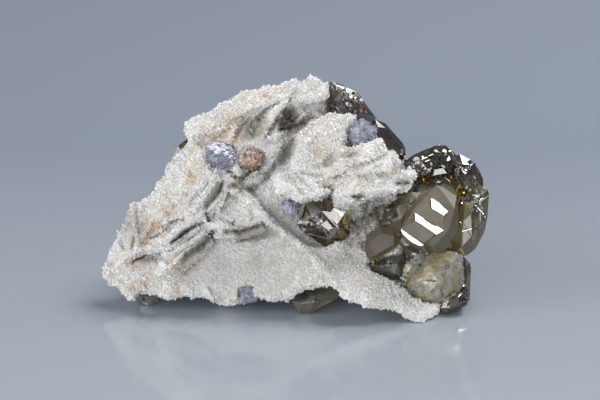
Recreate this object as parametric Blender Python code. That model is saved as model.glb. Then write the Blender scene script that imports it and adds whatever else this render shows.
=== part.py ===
"""Cleiophane sphalerite specimen: glassy olive crystals, galena grains and one rusty carbonate grain
on a boxwork of thin quartz blades. Lengths below are millimetres, and the objects are made in metres.
+Z is up, the show side faces -Y, and the origin lies on the ground under the middle of the specimen.

Most places are given as (across, up, back): what an eye on the lens's axis sees across and up from the
picture's middle, and how far behind the middle plane the point lies."""

import math
import random

import bmesh
import bpy
from mathutils import Matrix, Vector, noise

MM = 0.001

# The eye that the places are measured from
VIEW_TILT = math.radians(18.0)
EYE_DISTANCE = 450.0
SIGHT_POINT = Vector((-1.8, -1.55, 21.2))
ACROSS = Vector((1.0, 0.0, 0.0))
UPWARD = Vector((0.0, math.sin(VIEW_TILT), math.cos(VIEW_TILT)))
AWAY = Vector((0.0, math.cos(VIEW_TILT), -math.sin(VIEW_TILT)))
EYE = SIGHT_POINT - AWAY * EYE_DISTANCE

# The stone
BLADE = 1.1            # usual thickness of a quartz blade
RAG_STEP = 1.7         # length between the nicks of a blade's edge
REAR_STEP = 3.2        # the same on the far side
RAG = 0.42             # depth of those nicks
ROOM = 0.52            # gap, along X, Y and Z, between a grain and the quartz that holds it
GROUND_CUT = 8.0       # depth of the block that levels the feet
MIDDLE = Vector((-2.59, 6.0, 0.0))   # middle of the finished stone, which is moved over the origin


def clear_scene():
    for old in list(bpy.data.objects):
        bpy.data.objects.remove(old, do_unlink=True)


def placed(across, up, back):
    """The point seen at (across, up), back millimetres behind the middle plane."""
    spread = 1.0 + back / EYE_DISTANCE
    return SIGHT_POINT + ACROSS * (across * spread) + UPWARD * (up * spread) + AWAY * back


def facing(turn, lift):
    """Direction turned that many degrees right of the viewer and lifted that many above level."""
    t, f = math.radians(turn), math.radians(lift)
    return Vector((math.sin(t) * math.cos(f), -math.cos(t) * math.cos(f), math.sin(f)))


def seen_on_plane(across, up, anchor, normal):
    """Where the sight line through (across, up) meets the plane through anchor."""
    ray = placed(across, up, 0.0) - EYE
    return EYE + ray * ((anchor - EYE).dot(normal) / ray.dot(normal))


def axes_of(normal):
    """Rotation whose Z is the normal and whose X is level."""
    level = Vector((0.0, 0.0, 1.0)).cross(normal)
    if level.length < 1e-4:
        level = Vector((1.0, 0.0, 0.0))
    level.normalize()
    return Matrix((level, normal.cross(level), normal)).transposed()


def ragged(outline, seed, depth, nick):
    """The outline with its long stretches nicked in and out."""
    worn = []
    for number, start in enumerate(outline):
        end = outline[(number + 1) % len(outline)]
        run = end - start
        steps = max(1, round(run.length / nick))
        side = Vector((-run.y, run.x)).normalized()
        for step in range(steps):
            point = start + run * (step / steps)
            swing = noise.noise(Vector((point.x * 0.9, point.y * 0.9, seed * 7.3)))
            jag = depth * (-1.0) ** step * 0.5 + depth * 1.6 * swing
            worn.append(point + side * (jag if step else 0.4 * jag))
    return worn


def solid_from_curve(curve_object, collection):
    """A mesh object in place of a filled curve, with its caps welded to its sides."""
    graph = bpy.context.evaluated_depsgraph_get()
    mesh = bpy.data.meshes.new_from_object(curve_object.evaluated_get(graph))
    mesh.transform(curve_object.matrix_world)
    name, curve = curve_object.name, curve_object.data
    bpy.data.objects.remove(curve_object, do_unlink=True)
    bpy.data.curves.remove(curve)
    body = bmesh.new()
    body.from_mesh(mesh)
    bmesh.ops.remove_doubles(body, verts=body.verts, dist=1e-6)
    bmesh.ops.recalc_face_normals(body, faces=body.faces)
    body.to_mesh(mesh)
    body.free()
    mesh.name = name
    solid = bpy.data.objects.new(name, mesh)
    collection.objects.link(solid)
    return solid


def slab(name, corners, normal, thickness, seed, depth, collection, nick=RAG_STEP):
    """A blade whose front face has these corners, with nicked edges."""
    axes = axes_of(normal)
    start = corners[0]
    flat = [(axes.transposed() @ (corner - start)).to_2d() for corner in corners]
    outline = ragged(flat, seed, depth, nick)
    curve = bpy.data.curves.new(name, "CURVE")
    curve.dimensions = "2D"
    curve.fill_mode = "BOTH"
    curve.extrude = thickness / 2 * MM
    spline = curve.splines.new("POLY")
    spline.points.add(len(outline) - 1)
    spline.use_cyclic_u = True
    for point, place in zip(spline.points, outline):
        point.co = (place.x * MM, place.y * MM, 0.0, 1.0)
    drawn = bpy.data.objects.new(name, curve)
    collection.objects.link(drawn)
    drawn.matrix_world = Matrix.Translation((start - normal * thickness / 2) * MM) @ axes.to_4x4()
    bpy.context.view_layer.update()
    return solid_from_curve(drawn, collection)


def shown_blade(name, outline, anchor, turn, lift, thickness, collection, depth=RAG):
    """A blade that shows its broad face: its outline as seen, through the point anchor."""
    normal = facing(turn, lift)
    hold = placed(*anchor)
    corners = [seen_on_plane(across, up, hold, normal) for across, up in outline]
    return slab(name, corners, normal, thickness, len(name) + anchor[0], depth, collection)


def edge_blade(name, start, end, reach, drop, thickness, collection, depth=RAG):
    """A blade seen on its edge, which runs from start to end and goes reach deep into the stone."""
    first, last = placed(*start), placed(*end)
    inward = (AWAY * math.cos(math.radians(drop)) - UPWARD * math.sin(math.radians(drop))) * reach
    normal = (last - first).cross(inward).normalized()
    corners = [first, last, last + inward, first + inward]
    return slab(name, corners, normal, thickness, start[0] + end[1], depth, collection)


def back_blade(name, centre, turn, lift, width, height, seed, collection):
    """A blade of irregular outline on the far side, about centre."""
    chance = random.Random(seed)
    normal = facing(turn, lift)
    axes = axes_of(normal)
    corners = []
    count = 11
    for number in range(count):
        angle = math.tau * (number + chance.uniform(-0.25, 0.25)) / count
        spread = chance.uniform(0.78, 1.08)
        local = Vector((math.cos(angle) * width / 2, math.sin(angle) * height / 2, 0.0)) * spread
        corners.append(Vector(centre) + axes @ local)
    return slab(name, corners, normal, BLADE, seed, RAG, collection, REAR_STEP)


def hull(name, points, collection):
    """The tight convex solid around points given in millimetres."""
    body = bmesh.new()
    for point in points:
        body.verts.new(point * MM)
    result = bmesh.ops.convex_hull(body, input=body.verts)
    spare = set(result["geom_interior"]) | set(result["geom_unused"])
    loose = [part for part in spare if isinstance(part, bmesh.types.BMVert)]
    bmesh.ops.delete(body, geom=loose, context="VERTS")
    bmesh.ops.recalc_face_normals(body, faces=body.faces)
    mesh = bpy.data.meshes.new(name)
    body.to_mesh(mesh)
    body.free()
    solid = bpy.data.objects.new(name, mesh)
    collection.objects.link(solid)
    return solid


def room_around(name, crystal, gap, collection):
    """The convex hollow that a grain sits in: the grain's own shape, swollen by the gap."""
    points = []
    for vertex in crystal.data.vertices:
        for direction in CUBE:
            points.append(vertex.co / MM + direction * gap)
    return hull(name, points, collection)


# Face directions of sphalerite and galena, both cubic
CUBE = [Vector(v) for v in ((1, 0, 0), (-1, 0, 0), (0, 1, 0), (0, -1, 0), (0, 0, 1), (0, 0, -1))]
TETRA = [Vector(v).normalized() for v in ((1, 1, 1), (1, -1, -1), (-1, 1, -1), (-1, -1, 1))]
COUNTER_TETRA = [-face for face in TETRA]
DODECA = [Vector((x, y, 0)).normalized() for x in (-1, 1) for y in (-1, 1)]
DODECA += [Vector((x, 0, z)).normalized() for x in (-1, 1) for z in (-1, 1)]
DODECA += [Vector((0, y, z)).normalized() for y in (-1, 1) for z in (-1, 1)]


def trimmed(body, point, normal):
    """Cuts a convex body by a plane and closes it again."""
    geometry = body.verts[:] + body.edges[:] + body.faces[:]
    cut = bmesh.ops.bisect_plane(body, geom=geometry, plane_co=point, plane_no=normal, clear_outer=True)
    rim = [part for part in cut["geom_cut"] if isinstance(part, bmesh.types.BMEdge)]
    if rim:
        bmesh.ops.contextual_create(body, geom=rim)


def crystal(name, centre, reach, axes, forms, seed, collection, stretch=(1.0, 1.0, 1.0)):
    """A crystal cut from a block by its faces. forms lists (directions, distance as a share of reach)."""
    vary = 0.10
    chance = random.Random(seed)
    bpy.ops.mesh.primitive_cube_add(size=4 * reach * MM)
    solid = bpy.context.active_object
    solid.name = name
    solid.data.name = name
    for holder in list(solid.users_collection):
        holder.objects.unlink(solid)
    collection.objects.link(solid)
    body = bmesh.new()
    body.from_mesh(solid.data)
    for directions, share in forms:
        for direction in directions:
            distance = reach * share * (1 + chance.uniform(-vary, vary))
            trimmed(body, direction * distance * MM, direction)
    place = Matrix.Translation(Vector(centre) * MM) @ axes.to_4x4() @ Matrix.Diagonal((*stretch, 1.0))
    body.transform(place)
    bmesh.ops.remove_doubles(body, verts=body.verts, dist=2e-5)
    bmesh.ops.recalc_face_normals(body, faces=body.faces)
    body.to_mesh(solid.data)
    body.free()
    return solid


def turned(yaw, pitch, roll):
    """Rotation from three angles in degrees, about Z, then X, then Y."""
    z = Matrix.Rotation(math.radians(yaw), 3, "Z")
    x = Matrix.Rotation(math.radians(pitch), 3, "X")
    y = Matrix.Rotation(math.radians(roll), 3, "Y")
    return z @ x @ y


def combine(base, others, operation):
    """Adds or takes away each solid, the cuts worked out exactly."""
    for other in others:
        step = base.modifiers.new(operation.lower() + "_" + other.name, "BOOLEAN")
        step.operation = operation
        step.solver = "EXACT"
        step.object = other


def largest_body(name, source, collection):
    """The evaluated solid without loose crumbs or closed hollows."""
    bpy.context.view_layer.update()
    graph = bpy.context.evaluated_depsgraph_get()
    mesh = bpy.data.meshes.new_from_object(source.evaluated_get(graph))
    mesh.transform(source.matrix_world)
    body = bmesh.new()
    body.from_mesh(mesh)
    bmesh.ops.remove_doubles(body, verts=body.verts, dist=5e-6)
    bmesh.ops.dissolve_degenerate(body, edges=body.edges, dist=5e-6)
    bmesh.ops.triangulate(body, faces=body.faces)
    groups, seen = [], set()
    for first in body.verts:
        if first in seen:
            continue
        group, queue = [], [first]
        seen.add(first)
        while queue:
            vertex = queue.pop()
            group.append(vertex)
            for edge in vertex.link_edges:
                other = edge.other_vert(vertex)
                if other not in seen:
                    seen.add(other)
                    queue.append(other)
        groups.append(group)
    groups.sort(key=len, reverse=True)
    for group in groups[1:]:
        bmesh.ops.delete(body, geom=group, context="VERTS")
    body.to_mesh(mesh)
    body.free()
    mesh.name = name
    solid = bpy.data.objects.new(name, mesh)
    collection.objects.link(solid)
    return solid


def material(name, colour, roughness, metallic=0.0):
    made = bpy.data.materials.new(name)
    made.use_nodes = True
    shader = made.node_tree.nodes["Principled BSDF"]
    shader.inputs["Base Color"].default_value = (*colour, 1.0)
    shader.inputs["Roughness"].default_value = roughness
    shader.inputs["Metallic"].default_value = metallic
    return made


# Quartz

def core(collection):
    """The solid heart of the quartz, three lumps that the blades stand on."""
    left = [placed(*p) for p in (
        (-36.5, -13, 5), (-32, -18.0, 3), (-18, -17.5, 3.5), (-30, -1, 7.5), (-21, 13, 8.5),
        (-12, -6, 3.0), (-14, 8, 5.0), (-24, 4, 5.5))]
    left += [Vector(p) for p in ((-33, 9, 4), (-24, 16, 3.5), (-8, 14, 4), (-26, 13, 17), (-12, 16, 28))]
    middle = [placed(*p) for p in (
        (-16, -17.5, 3), (6, -16.5, 3), (-14, 8, 5.0), (-21, 13.5, 10), (-8, 20.5, 13), (4, 22.5, 13),
        (12, 14, 9), (8, 2, 3.5), (12, -9, 3.5), (-4, -3, 2.5), (-4, 12, 6.5))]
    middle += [Vector(p) for p in ((-18, 19, 3.5), (8, 20, 3.5), (6, 21, 26), (-10, 19.5, 30))]
    right = [placed(*p) for p in (
        (6, -16, 3), (15, -14.5, 1), (20, -19, 0), (18, 8, 4), (19, 1, 3), (12, 14, 9), (16, -8, 3))]
    right += [Vector(p) for p in ((18, 17, 3.5), (4, 20, 3.5), (22, 6, 4), (19, 14, 22), (8, 18, 28))]
    base = hull("core_left", left, collection)
    return base, [hull("core_middle", middle, collection), hull("core_right", right, collection)]


def front_blades(collection):
    """The blades of the show side, from the foot to the crest."""
    made = []

    def shown(*args, **more):
        made.append(shown_blade(*args, collection, **more))

    def edge(*args, **more):
        made.append(edge_blade(*args, collection, **more))

    shown("skirt", (
        (-39.2, -12.6), (-38.4, -15.2), (-36.2, -17.2), (-33.6, -19.8), (-32.2, -18.2), (-28.8, -18),
        (-27.2, -19.4), (-23.4, -18.8), (-18.8, -19.4), (-12, -19.6), (-7.6, -19.4), (-2, -19.6),
        (0.6, -18), (3.4, -16.8), (7.4, -16.6), (3.6, -12.4), (-2, -5.6), (-7.6, -2.8),
        (-17, -5.2), (-24.4, -8), (-35.2, -9)),
        (-14, -19, -1), -5, 50, 1.8)
    shown("chin", (
        (-18.2, 2), (-15, 4.4), (-12, 3.2), (-8.4, -0.6), (-6.8, -4.2), (-9.6, -5), (-12, -5.8),
        (-15.2, -5.4), (-17.6, -5.6), (-18.8, -3)), (-12, -5.8, -1.2), -15, 36, 3.4)
    shown("finger", (
        (-18.6, -4.6), (-15.6, -5.6), (-13, -7.4), (-12.7, -8.6), (-15.4, -7.6), (-18.4, -6.6)),
        (-16, -6.5, -2.2), 5, 62, 0.9, depth=0.2)
    shown("page_a", (
        (-32, -12.4), (-29, -11.2), (-26.8, -13.6), (-24.4, -11.6), (-22, -9.4), (-17.4, -6.2),
        (-19, -4.8), (-24, -5.6), (-31, -8)), (-22, -9.4, -1.2), -35, 48, BLADE)
    shown("page_b", (
        (-34, -10.4), (-30.6, -9.4), (-27, -9.9), (-24, -8), (-20.6, -5.6), (-18.4, -4.2),
        (-20, -2.2), (-25, -3), (-32, -6)), (-24, -8, -1.7), -35, 48, BLADE)
    shown("page_c", (
        (-34.8, -8.2), (-30, -7.4), (-26.4, -7.0), (-23, -5.0), (-19.4, -2.8), (-19.8, 1.2),
        (-26, 0), (-32.6, -3)), (-23, -5, -1.9), -35, 48, BLADE)
    shown("slope", (
        (-35.8, -5.8), (-33.8, -0.8), (-31, 0.4), (-28.8, 2.8), (-27.6, 4.8), (-26.2, 7),
        (-22.6, 11.4), (-19.2, 6.8), (-17.6, 3.4), (-19.2, 0.2), (-22, -2.8), (-27, -5.2)),
        (-22, -2.4, -1.2), -30, 45, 2.6)
    shown("outer_slope", (
        (-38.8, -11.4), (-37.2, -8.4), (-35, -3.6), (-33.8, -0.8), (-30.6, -0.6), (-30.4, -6.4),
        (-33.2, -10.4), (-36.4, -13)), (-34, -8, 3.2), -48, 32, 2.4)
    shown("slope_upper", (
        (-22.2, 12.4), (-19.2, 10), (-17.2, 5.6), (-20, 2.2), (-24, 2.8), (-27, 4.8), (-26, 7.4)),
        (-20, 2.2, -1.9), -30, 45, 1.4)
    shown("shelf_edge", (
        (-19, 13), (-12, 15), (-8.8, 12.4), (-12, 10.8), (-15.6, 11.8), (-18.4, 12)),
        (-15, 12, 3.4), -8, 50, 1.4)
    shown("shelf", (
        (-23.2, 15.6), (-19, 17.6), (-12, 16), (-7.6, 13), (-6.4, 8), (-10, 5), (-13.6, 4),
        (-17.6, 4.4), (-20.8, 7.4), (-22.2, 12)), (-17.6, 4.8, 1.5), -10, 42, 2.0)
    shown("crest", (
        (-23.2, 15.6), (-19, 17.6), (-14.6, 20), (-10.4, 22.2), (-5, 23.2), (2, 24.4), (5.6, 23.8),
        (5.6, 21), (0, 20.4), (-6, 19.4), (-11, 17.4), (-15, 15), (-19, 13.6), (-22, 12.6)),
        (-10.4, 22.2, 8.5), -5, 52, 2.2)
    shown("hollow_plate", (
        (-12, 10.6), (-10.4, 14.4), (-7.6, 16.6), (-4, 17.6), (-2, 16.4), (-3.2, 13), (-6.4, 10),
        (-9, 9.6)), (-9, 10, 3.6), -25, 40, 1.6)
    edge("long_rib", (-15, 6.6, 1.5), (1.5, 21.6, 8), 6, 15, 0.9)
    edge("short_rib", (-13.6, 13.2, 4.4), (-9.4, 17.4, 7.0), 4, 15, 0.8)
    edge("inner_rib", (-6.6, 9.2, 2.6), (0.8, 18.2, 6.5), 5, 15, 1.0)
    edge("pocket_rib", (-18.4, -1.6, -2.0), (-12.6, 6.0, 1.2), 4, 10, 0.8)
    shown("middle_lobe", (
        (0.4, 14.8), (2.2, 15.8), (6.2, 17.4), (11.2, 17.2), (11.2, 14), (9.8, 12.6), (8.6, 8.8),
        (10, 7), (7, 3), (2, 4), (-1.8, 7), (-1.6, 9.6), (-1, 12.4)), (4, 6, 0.4), 8, 42, 4.0)
    shown("middle_puff", (
        (1.2, 12), (4.4, 15), (8.8, 15.4), (9.2, 12.8), (7.6, 9.8), (4.2, 7.4), (0.4, 8.4)),
        (4, 9, 1.2), 0, 38, 3.0)
    shown("tongue", (
        (-5.8, 5), (-2, 6.4), (1, 6), (4, 4.6), (6.2, 2), (4.8, 0.8), (2.6, 0.8), (1.4, 0),
        (-0.6, 0.2), (-4.6, 2.2)), (1.4, 0.2, -4.0), 0, 68, 1.3)
    shown("upper_lobe", (
        (9.0, 11), (14.4, 12), (15.4, 12.6), (16.4, 11.4), (18, 10), (19.2, 10), (20.4, 8),
        (19, 6.4), (14.4, 5.6), (10.4, 4.8), (8.2, 7)), (16, 7.5, 0.2), 15, 45, 2.4)
    shown("tip_lobe", (
        (7, 2), (10.4, 5), (14.4, 6), (17.8, 6.2), (20.8, 6.3), (23.6, 5.8), (22.8, 4.4), (21.4, 3),
        (19.2, 2), (16, 1.2), (12, 0), (9, -0.8), (7.2, 0)), (18, 3, -2.6), 10, 60, 1.5)
    shown("low_lobe", (
        (6.4, 1.4), (10, 2), (17, 2), (19.2, 1.2), (17, -0.2), (14.8, -0.8), (12.6, -2.4),
        (9.4, -2), (7.2, -1.2)), (12.6, -2, -1.6), 5, 38, 2.4)
    edge("long_blade", (-19.2, 7.2, 0.2), (9.6, -16.6, -5.4), 8.5, -8, 1.15)
    shown("foot_blade", (
        (2.4, -11.6), (8, -10.6), (10.6, -11.8), (14.2, -13.8), (18.4, -15.6), (21.4, -18),
        (24, -19.8), (27.6, -20.6), (30.6, -19.4), (30.6, -20.8), (28.2, -22), (26.8, -23.4),
        (25.3, -24.8), (23.2, -24), (21.4, -22.8), (19.4, -21.4), (17, -21), (13.4, -21),
        (10.6, -19.8), (8.8, -18.8), (7, -16.6), (4.4, -14.2)), (25.4, -24.4, -6), 34, 57, 1.5)
    shown("druse_patch", (
        (8.8, -1), (14.4, -0.6), (15.6, -3), (15, -7), (11.6, -9), (8.8, -8), (8, -4)),
        (11, -5, 0.6), 12, 12, 3.5)
    shown("wall", (
        (1, -9), (5, -9.6), (9, -8.4), (14.6, -10.5), (15.4, -14), (9, -13), (4, -13)),
        (9, -10, -1.2), 20, 22, 3.0)
    shown("low_piece", (
        (-17.4, -16.5), (-7.6, -16.5), (-9.4, -20.8), (-11.6, -20.8), (-15.2, -21.4), (-16.8, -20.6)),
        (-13, -20, 0.6), 0, 14, 3.6, depth=0.25)
    return made


def rear_blades(collection):
    """The blades of the far side: two sets that cross, falling from the crest to the feet."""
    made = []
    leaning = 15
    for number in range(leaning):
        share = number / (leaning - 1)
        rise = math.sin(math.pi * (0.12 + 0.76 * share))
        level = 0.26 + 0.34 * (number % 3)
        centre = (-29 + 49 * share, 13.0 + 6.4 * rise, 4 + 25 * rise * level)
        turn = 198 + 12 * math.sin(number * 2.1)
        size = 12.5 + 2.5 * math.sin(number * 1.7)
        made.append(back_blade(f"rear_slat_{number}", centre, turn, 38, size * 1.3, size, 31 + number,
                               collection))
    crossing = 8
    for number in range(crossing):
        share = number / (crossing - 1)
        rise = math.sin(math.pi * (0.08 + 0.84 * share))
        centre = (-25 + 43 * share, 14.0 + 5.4 * rise, 8 + 13 * rise * (0.7 + 0.5 * (number % 2)))
        turn = 116 + 14 * math.sin(number * 1.3)
        made.append(back_blade(f"rear_fin_{number}", centre, turn, 12, 12, 14, 61 + number, collection))
    return made


def feet(collection):
    """Blunt quartz feet under the far side and the lower left, levelled by the ground."""
    made = []
    chance = random.Random(17)
    for name, x, y, width, height in (
            ("foot_rear_left", -17.0, 12.5, 12.0, 5.0), ("foot_rear_right", 13.0, 14.0, 11.0, 5.0)):
        points = []
        for number in range(7):
            angle = math.tau * number / 7 + 0.3
            low = width / 2 * chance.uniform(0.7, 1.1)
            high = width * 0.7 * chance.uniform(0.85, 1.1)
            points.append(Vector((x + math.cos(angle) * low, y + math.sin(angle) * low * 0.7, -1.0)))
            points.append(Vector((x + math.cos(angle) * high, y + math.sin(angle) * high * 0.7, height)))
        made.append(hull(name, points, collection))
    tip = placed(25.2, -24.2, -6)
    made.append(hull("foot_front", [
        tip + Vector(p) for p in ((-1.6, 0.3, -3), (0.6, 0.3, -3), (-1.8, 2.2, -3), (0.8, 2.2, -3),
                                  (-2.6, 0.8, 0.4), (-2.6, 2.8, 1.2), (0.6, 2.8, 0.8))], collection))
    return made


# Sphalerite

# The mirror-flat risers of the bright crystal, from its top step down. Each level is the left and the
# right end of an edge: the top of a riser, then its foot, which is also where the tread below it starts.
STEP_LEVELS = (
    ((26.2, 0.46, -2.4), (30.2, -1.9, -2.4)), ((26.34, -1.64, -4.15), (28.7, -3.04, -4.15)),
    ((23.02, -2.6, -4.25), (28.76, -6.04, -4.25)), ((23.1, -4.08, -5.5), (27.3, -6.6, -5.5)),
    ((20.2, -5.84, -5.55), (24.86, -8.64, -5.55)), ((20.6, -6.9, -6.3), (24.24, -9.08, -6.3)),
    ((21.0, -8.4, -5.2), (25.2, -10.3, -5.2)))
STEP_DEPTH = 4.0       # how deep each step goes into the crystal
TREAD_OVERLAP = 0.12   # share of a tread that runs on under the next step


def grown(name, outline, crown, back, deep, collection):
    """A crystal by its outline as seen, the corners that rise in front of it and its depth behind.
    A corner of the outline may give its own distance in front of or behind the rest."""
    corners = [(*corner, 0.0)[:3] for corner in outline]
    middle = [sum(corner[axis] for corner in corners) / len(corners) for axis in (0, 1)]
    points = [placed(across, up, back + shift) for across, up, shift in corners]
    points += [placed(across, up, back - rise) for across, up, rise in crown]
    for across, up, shift in corners[::2]:
        narrow_across = middle[0] + (across - middle[0]) * 0.74
        narrow_up = middle[1] + (up - middle[1]) * 0.74
        points.append(placed(narrow_across, narrow_up, back + deep + shift * 0.5))
    return hull(name, points, collection)


def steps_of_bright_crystal(collection):
    """Each step with its riser, its tread and the stone under them."""
    made = []
    inward = Vector((0.4, -0.2, STEP_DEPTH))
    for number in range(0, len(STEP_LEVELS) - 2, 2):
        top, foot, low = ([Vector(end) for end in level] for level in STEP_LEVELS[number:number + 3])
        under_next = [end + (end - start) * TREAD_OVERLAP for start, end in zip(foot, low)]
        edge = top + foot + under_next
        points = [placed(*point) for point in edge + [point + inward for point in edge]]
        made.append(hull(f"step_{number // 2 + 1}", points, collection))
    return made


def right_cluster(collection):
    """The crystals that grew into one another on the right."""
    made = []

    def crystal_of(*args):
        made.append(grown(*args, collection))

    crystal_of("bright", (
        (24.5, 1.5), (27.3, 3.0), (29.1, 2.2), (31.3, 0.8), (31.7, -3.2), (31.6, -5.8), (30.1, -7.6),
        (29.3, -9.8), (27.3, -10.7), (25.2, -10.3), (22.4, -9.2), (20.3, -7.2), (20.1, -5.8),
        (21.6, -1.6), (24.5, -0.6)), (
        (25.6, 0.6, 0.8), (29.1, 0.9, 0.9), (30.9, -1.8, 1.9), (29.6, -6.2, 3.0), (26.6, -9.4, 3.6),
        (22.6, -2.2, 2.3)), -1.4, 8.0)
    made.extend(steps_of_bright_crystal(collection))
    crystal_of("dark_left", (
        (20.5, 7.2), (21.0, 7.9), (23.1, 9.3), (24.7, 9.6), (26.7, 10.6), (28.2, 9.6), (29.0, 6.0),
        (27.4, 3.2), (25.6, 2.5), (23.2, 2.8), (21.4, 5.0)), (
        (24.0, 8.0, 1.6), (27.2, 8.6, 2.0), (26.0, 5.6, 3.0), (24.2, 4.4, 2.2)), 5.0, 7.0)
    crystal_of("dark_ridge", (
        (25.6, 10.2), (26.7, 10.9), (27.7, 11.0), (29.2, 10.9), (30.5, 10.0), (31.6, 8.6), (32.4, 5.6),
        (30.4, 2.8), (28.0, 4.0), (26.0, 7.0)), (
        (28.4, 9.8, 1.0), (29.4, 8.0, 2.4), (30.0, 5.6, 3.2), (28.0, 7.0, 2.6)), 6.0, 6.0)
    crystal_of("dark_right", (
        (30.4, 8.8), (32.0, 9.1), (34.1, 8.2), (35.5, 6.5), (36.5, 4.6), (36.7, 2.8), (35.6, 0.8),
        (33.0, 0.2), (30.6, 1.0), (29.4, 3.4), (29.4, 6.4)), (
        (32.6, 7.4, 1.6), (34.0, 6.0, 2.2), (35.2, 4.2, 1.9), (32.2, 4.4, 3.4), (33.4, 1.8, 2.4)), 5.5, 7.0)
    crystal_of("right_glassy", (
        (31.8, 0.6), (34.4, 1.2), (36.6, 2.6), (37.5, 2.1), (37.8, 1.2), (37.5, -3.3), (36.9, -6.4),
        (35.9, -8.3), (35.0, -9.8), (33.1, -11.2), (31.0, -10.4), (29.8, -7.6), (31.2, -3.0)), (
        (33.0, -0.4, 1.8), (35.8, -0.2, 1.7), (32.6, -4.4, 2.6), (36.0, -4.4, 1.9), (34.2, -2.8, 2.9),
        (34.4, -7.4, 2.2), (32.4, -9.4, 1.6)), 3.0, 8.0)
    crystal_of("frosted", (
        (25.0, -10.8), (26.5, -10.3), (29.3, -10.1), (31.7, -10.7), (32.8, -12.6), (33.0, -16.2),
        (31.9, -18.2), (30.0, -20.2), (28.2, -21.2), (25.8, -21.8), (23.3, -20.8), (22.4, -19.5),
        (21.2, -16.7), (22.4, -14.4), (24.0, -12.4)), (
        (27.4, -12.2, 1.7), (30.4, -12.6, 1.7), (31.3, -15.2, 1.9), (30.9, -17.8, 1.7), (26.0, -13.8, 2.7),
        (24.4, -16.2, 2.6), (25.6, -19.4, 2.2), (28.4, -19.8, 1.9), (28.0, -16.0, 3.3)), 0.8, 6.5)
    crystal_of("frosted_right", (
        (32.6, -11.2), (34.0, -12.6), (34.2, -13.8), (34.0, -16.2), (33.9, -20.1), (32.4, -20.8),
        (31.2, -19.2), (31.6, -15.0)), (
        (33.2, -13.2, 1.0), (33.2, -16.6, 1.3), (32.8, -19.4, 0.9)), 3.2, 6.0)
    crystal_of("dark_low", (
        (28.1, -21.6), (29.0, -22.8), (30.4, -22.4), (32.4, -20.8), (33.6, -20.0), (32.0, -18.4),
        (29.6, -19.6)), ((29.9, -21.6, 1.0), (31.7, -20.4, 1.0)), -2.2, 6.0)
    crystal_of("grey_front", (
        (13.1, -8.2), (14.0, -7.0), (15.8, -5.2), (18.4, -5.6), (20.0, -7.7), (19.5, -9.0), (17.7, -10.4),
        (15.1, -11.8), (13.8, -11.7), (13.1, -10.1)), (
        (13.8, -8.7, 1.6), (16.2, -6.7, 1.8), (18.8, -7.3, 1.8), (18.7, -8.9, 1.6), (15.1, -11.0, 1.4)),
        0.4, 6.0)
    crystal_of("grey_upper", (
        (16.0, -5.2), (16.8, -2.0), (18.4, -0.6), (20.4, 0.8), (22.4, 1.6), (24.4, 1.4), (24.6, -1.0),
        (22.0, -4.4), (20.4, -6.4), (18.0, -5.8)), (
        (19.6, -1.2, 1.8), (22.0, -0.6, 1.8), (20.4, -3.6, 2.5), (18.0, -3.6, 1.7)), 1.0, 7.0)
    crystal_of("small_left", (
        (13.8, -12.6), (15.5, -12.2), (17.0, -11.6), (20.6, -11.0), (21.2, -12.0), (21.0, -13.8),
        (20.3, -15.3), (18.6, -16.1), (17.7, -15.0), (14.4, -14.4)), (
        (15.4, -13.2, 1.0), (17.2, -12.9, 1.5), (19.6, -12.7, 1.6), (18.9, -14.8, 1.1)), -0.4, 6.0)
    crystal_of("small_middle", (
        (20.9, -9.3), (22.4, -9.0), (24.6, -9.8), (25.2, -11.0), (24.4, -12.6), (23.0, -12.6),
        (21.2, -11.6)), ((22.2, -10.2, 1.4), (23.8, -10.8, 1.6), (22.6, -11.6, 1.5)), -0.8, 6.0)
    crystal_of("small_right", (
        (20.6, -12.2), (22.6, -12.4), (24.2, -12.4), (23.6, -14.0), (22.4, -15.4), (21.0, -15.6),
        (20.0, -14.2)), ((21.6, -13.2, 1.4), (22.8, -13.2, 1.6), (21.6, -14.6, 1.4)), -0.6, 6.0)
    crystal_of("low_link", (
        (16.4, -12.0), (22.0, -11.6), (24.6, -14.0), (24.4, -18.6), (21.6, -19.8), (18.0, -17.6),
        (15.4, -14.6)), ((20.8, -14.8, 1.2), (21.8, -17.6, 1.0)), 2.2, 6.5)
    crystal_of("deep_link", (
        (18.0, 1.0), (24.0, 5.0), (31.0, 4.0), (34.0, -2.0), (32.0, -10.0), (26.0, -15.0), (20.0, -12.0),
        (16.4, -6.0)), ((25.0, -4.0, 2.0),), 5.0, 7.0)
    return made


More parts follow.
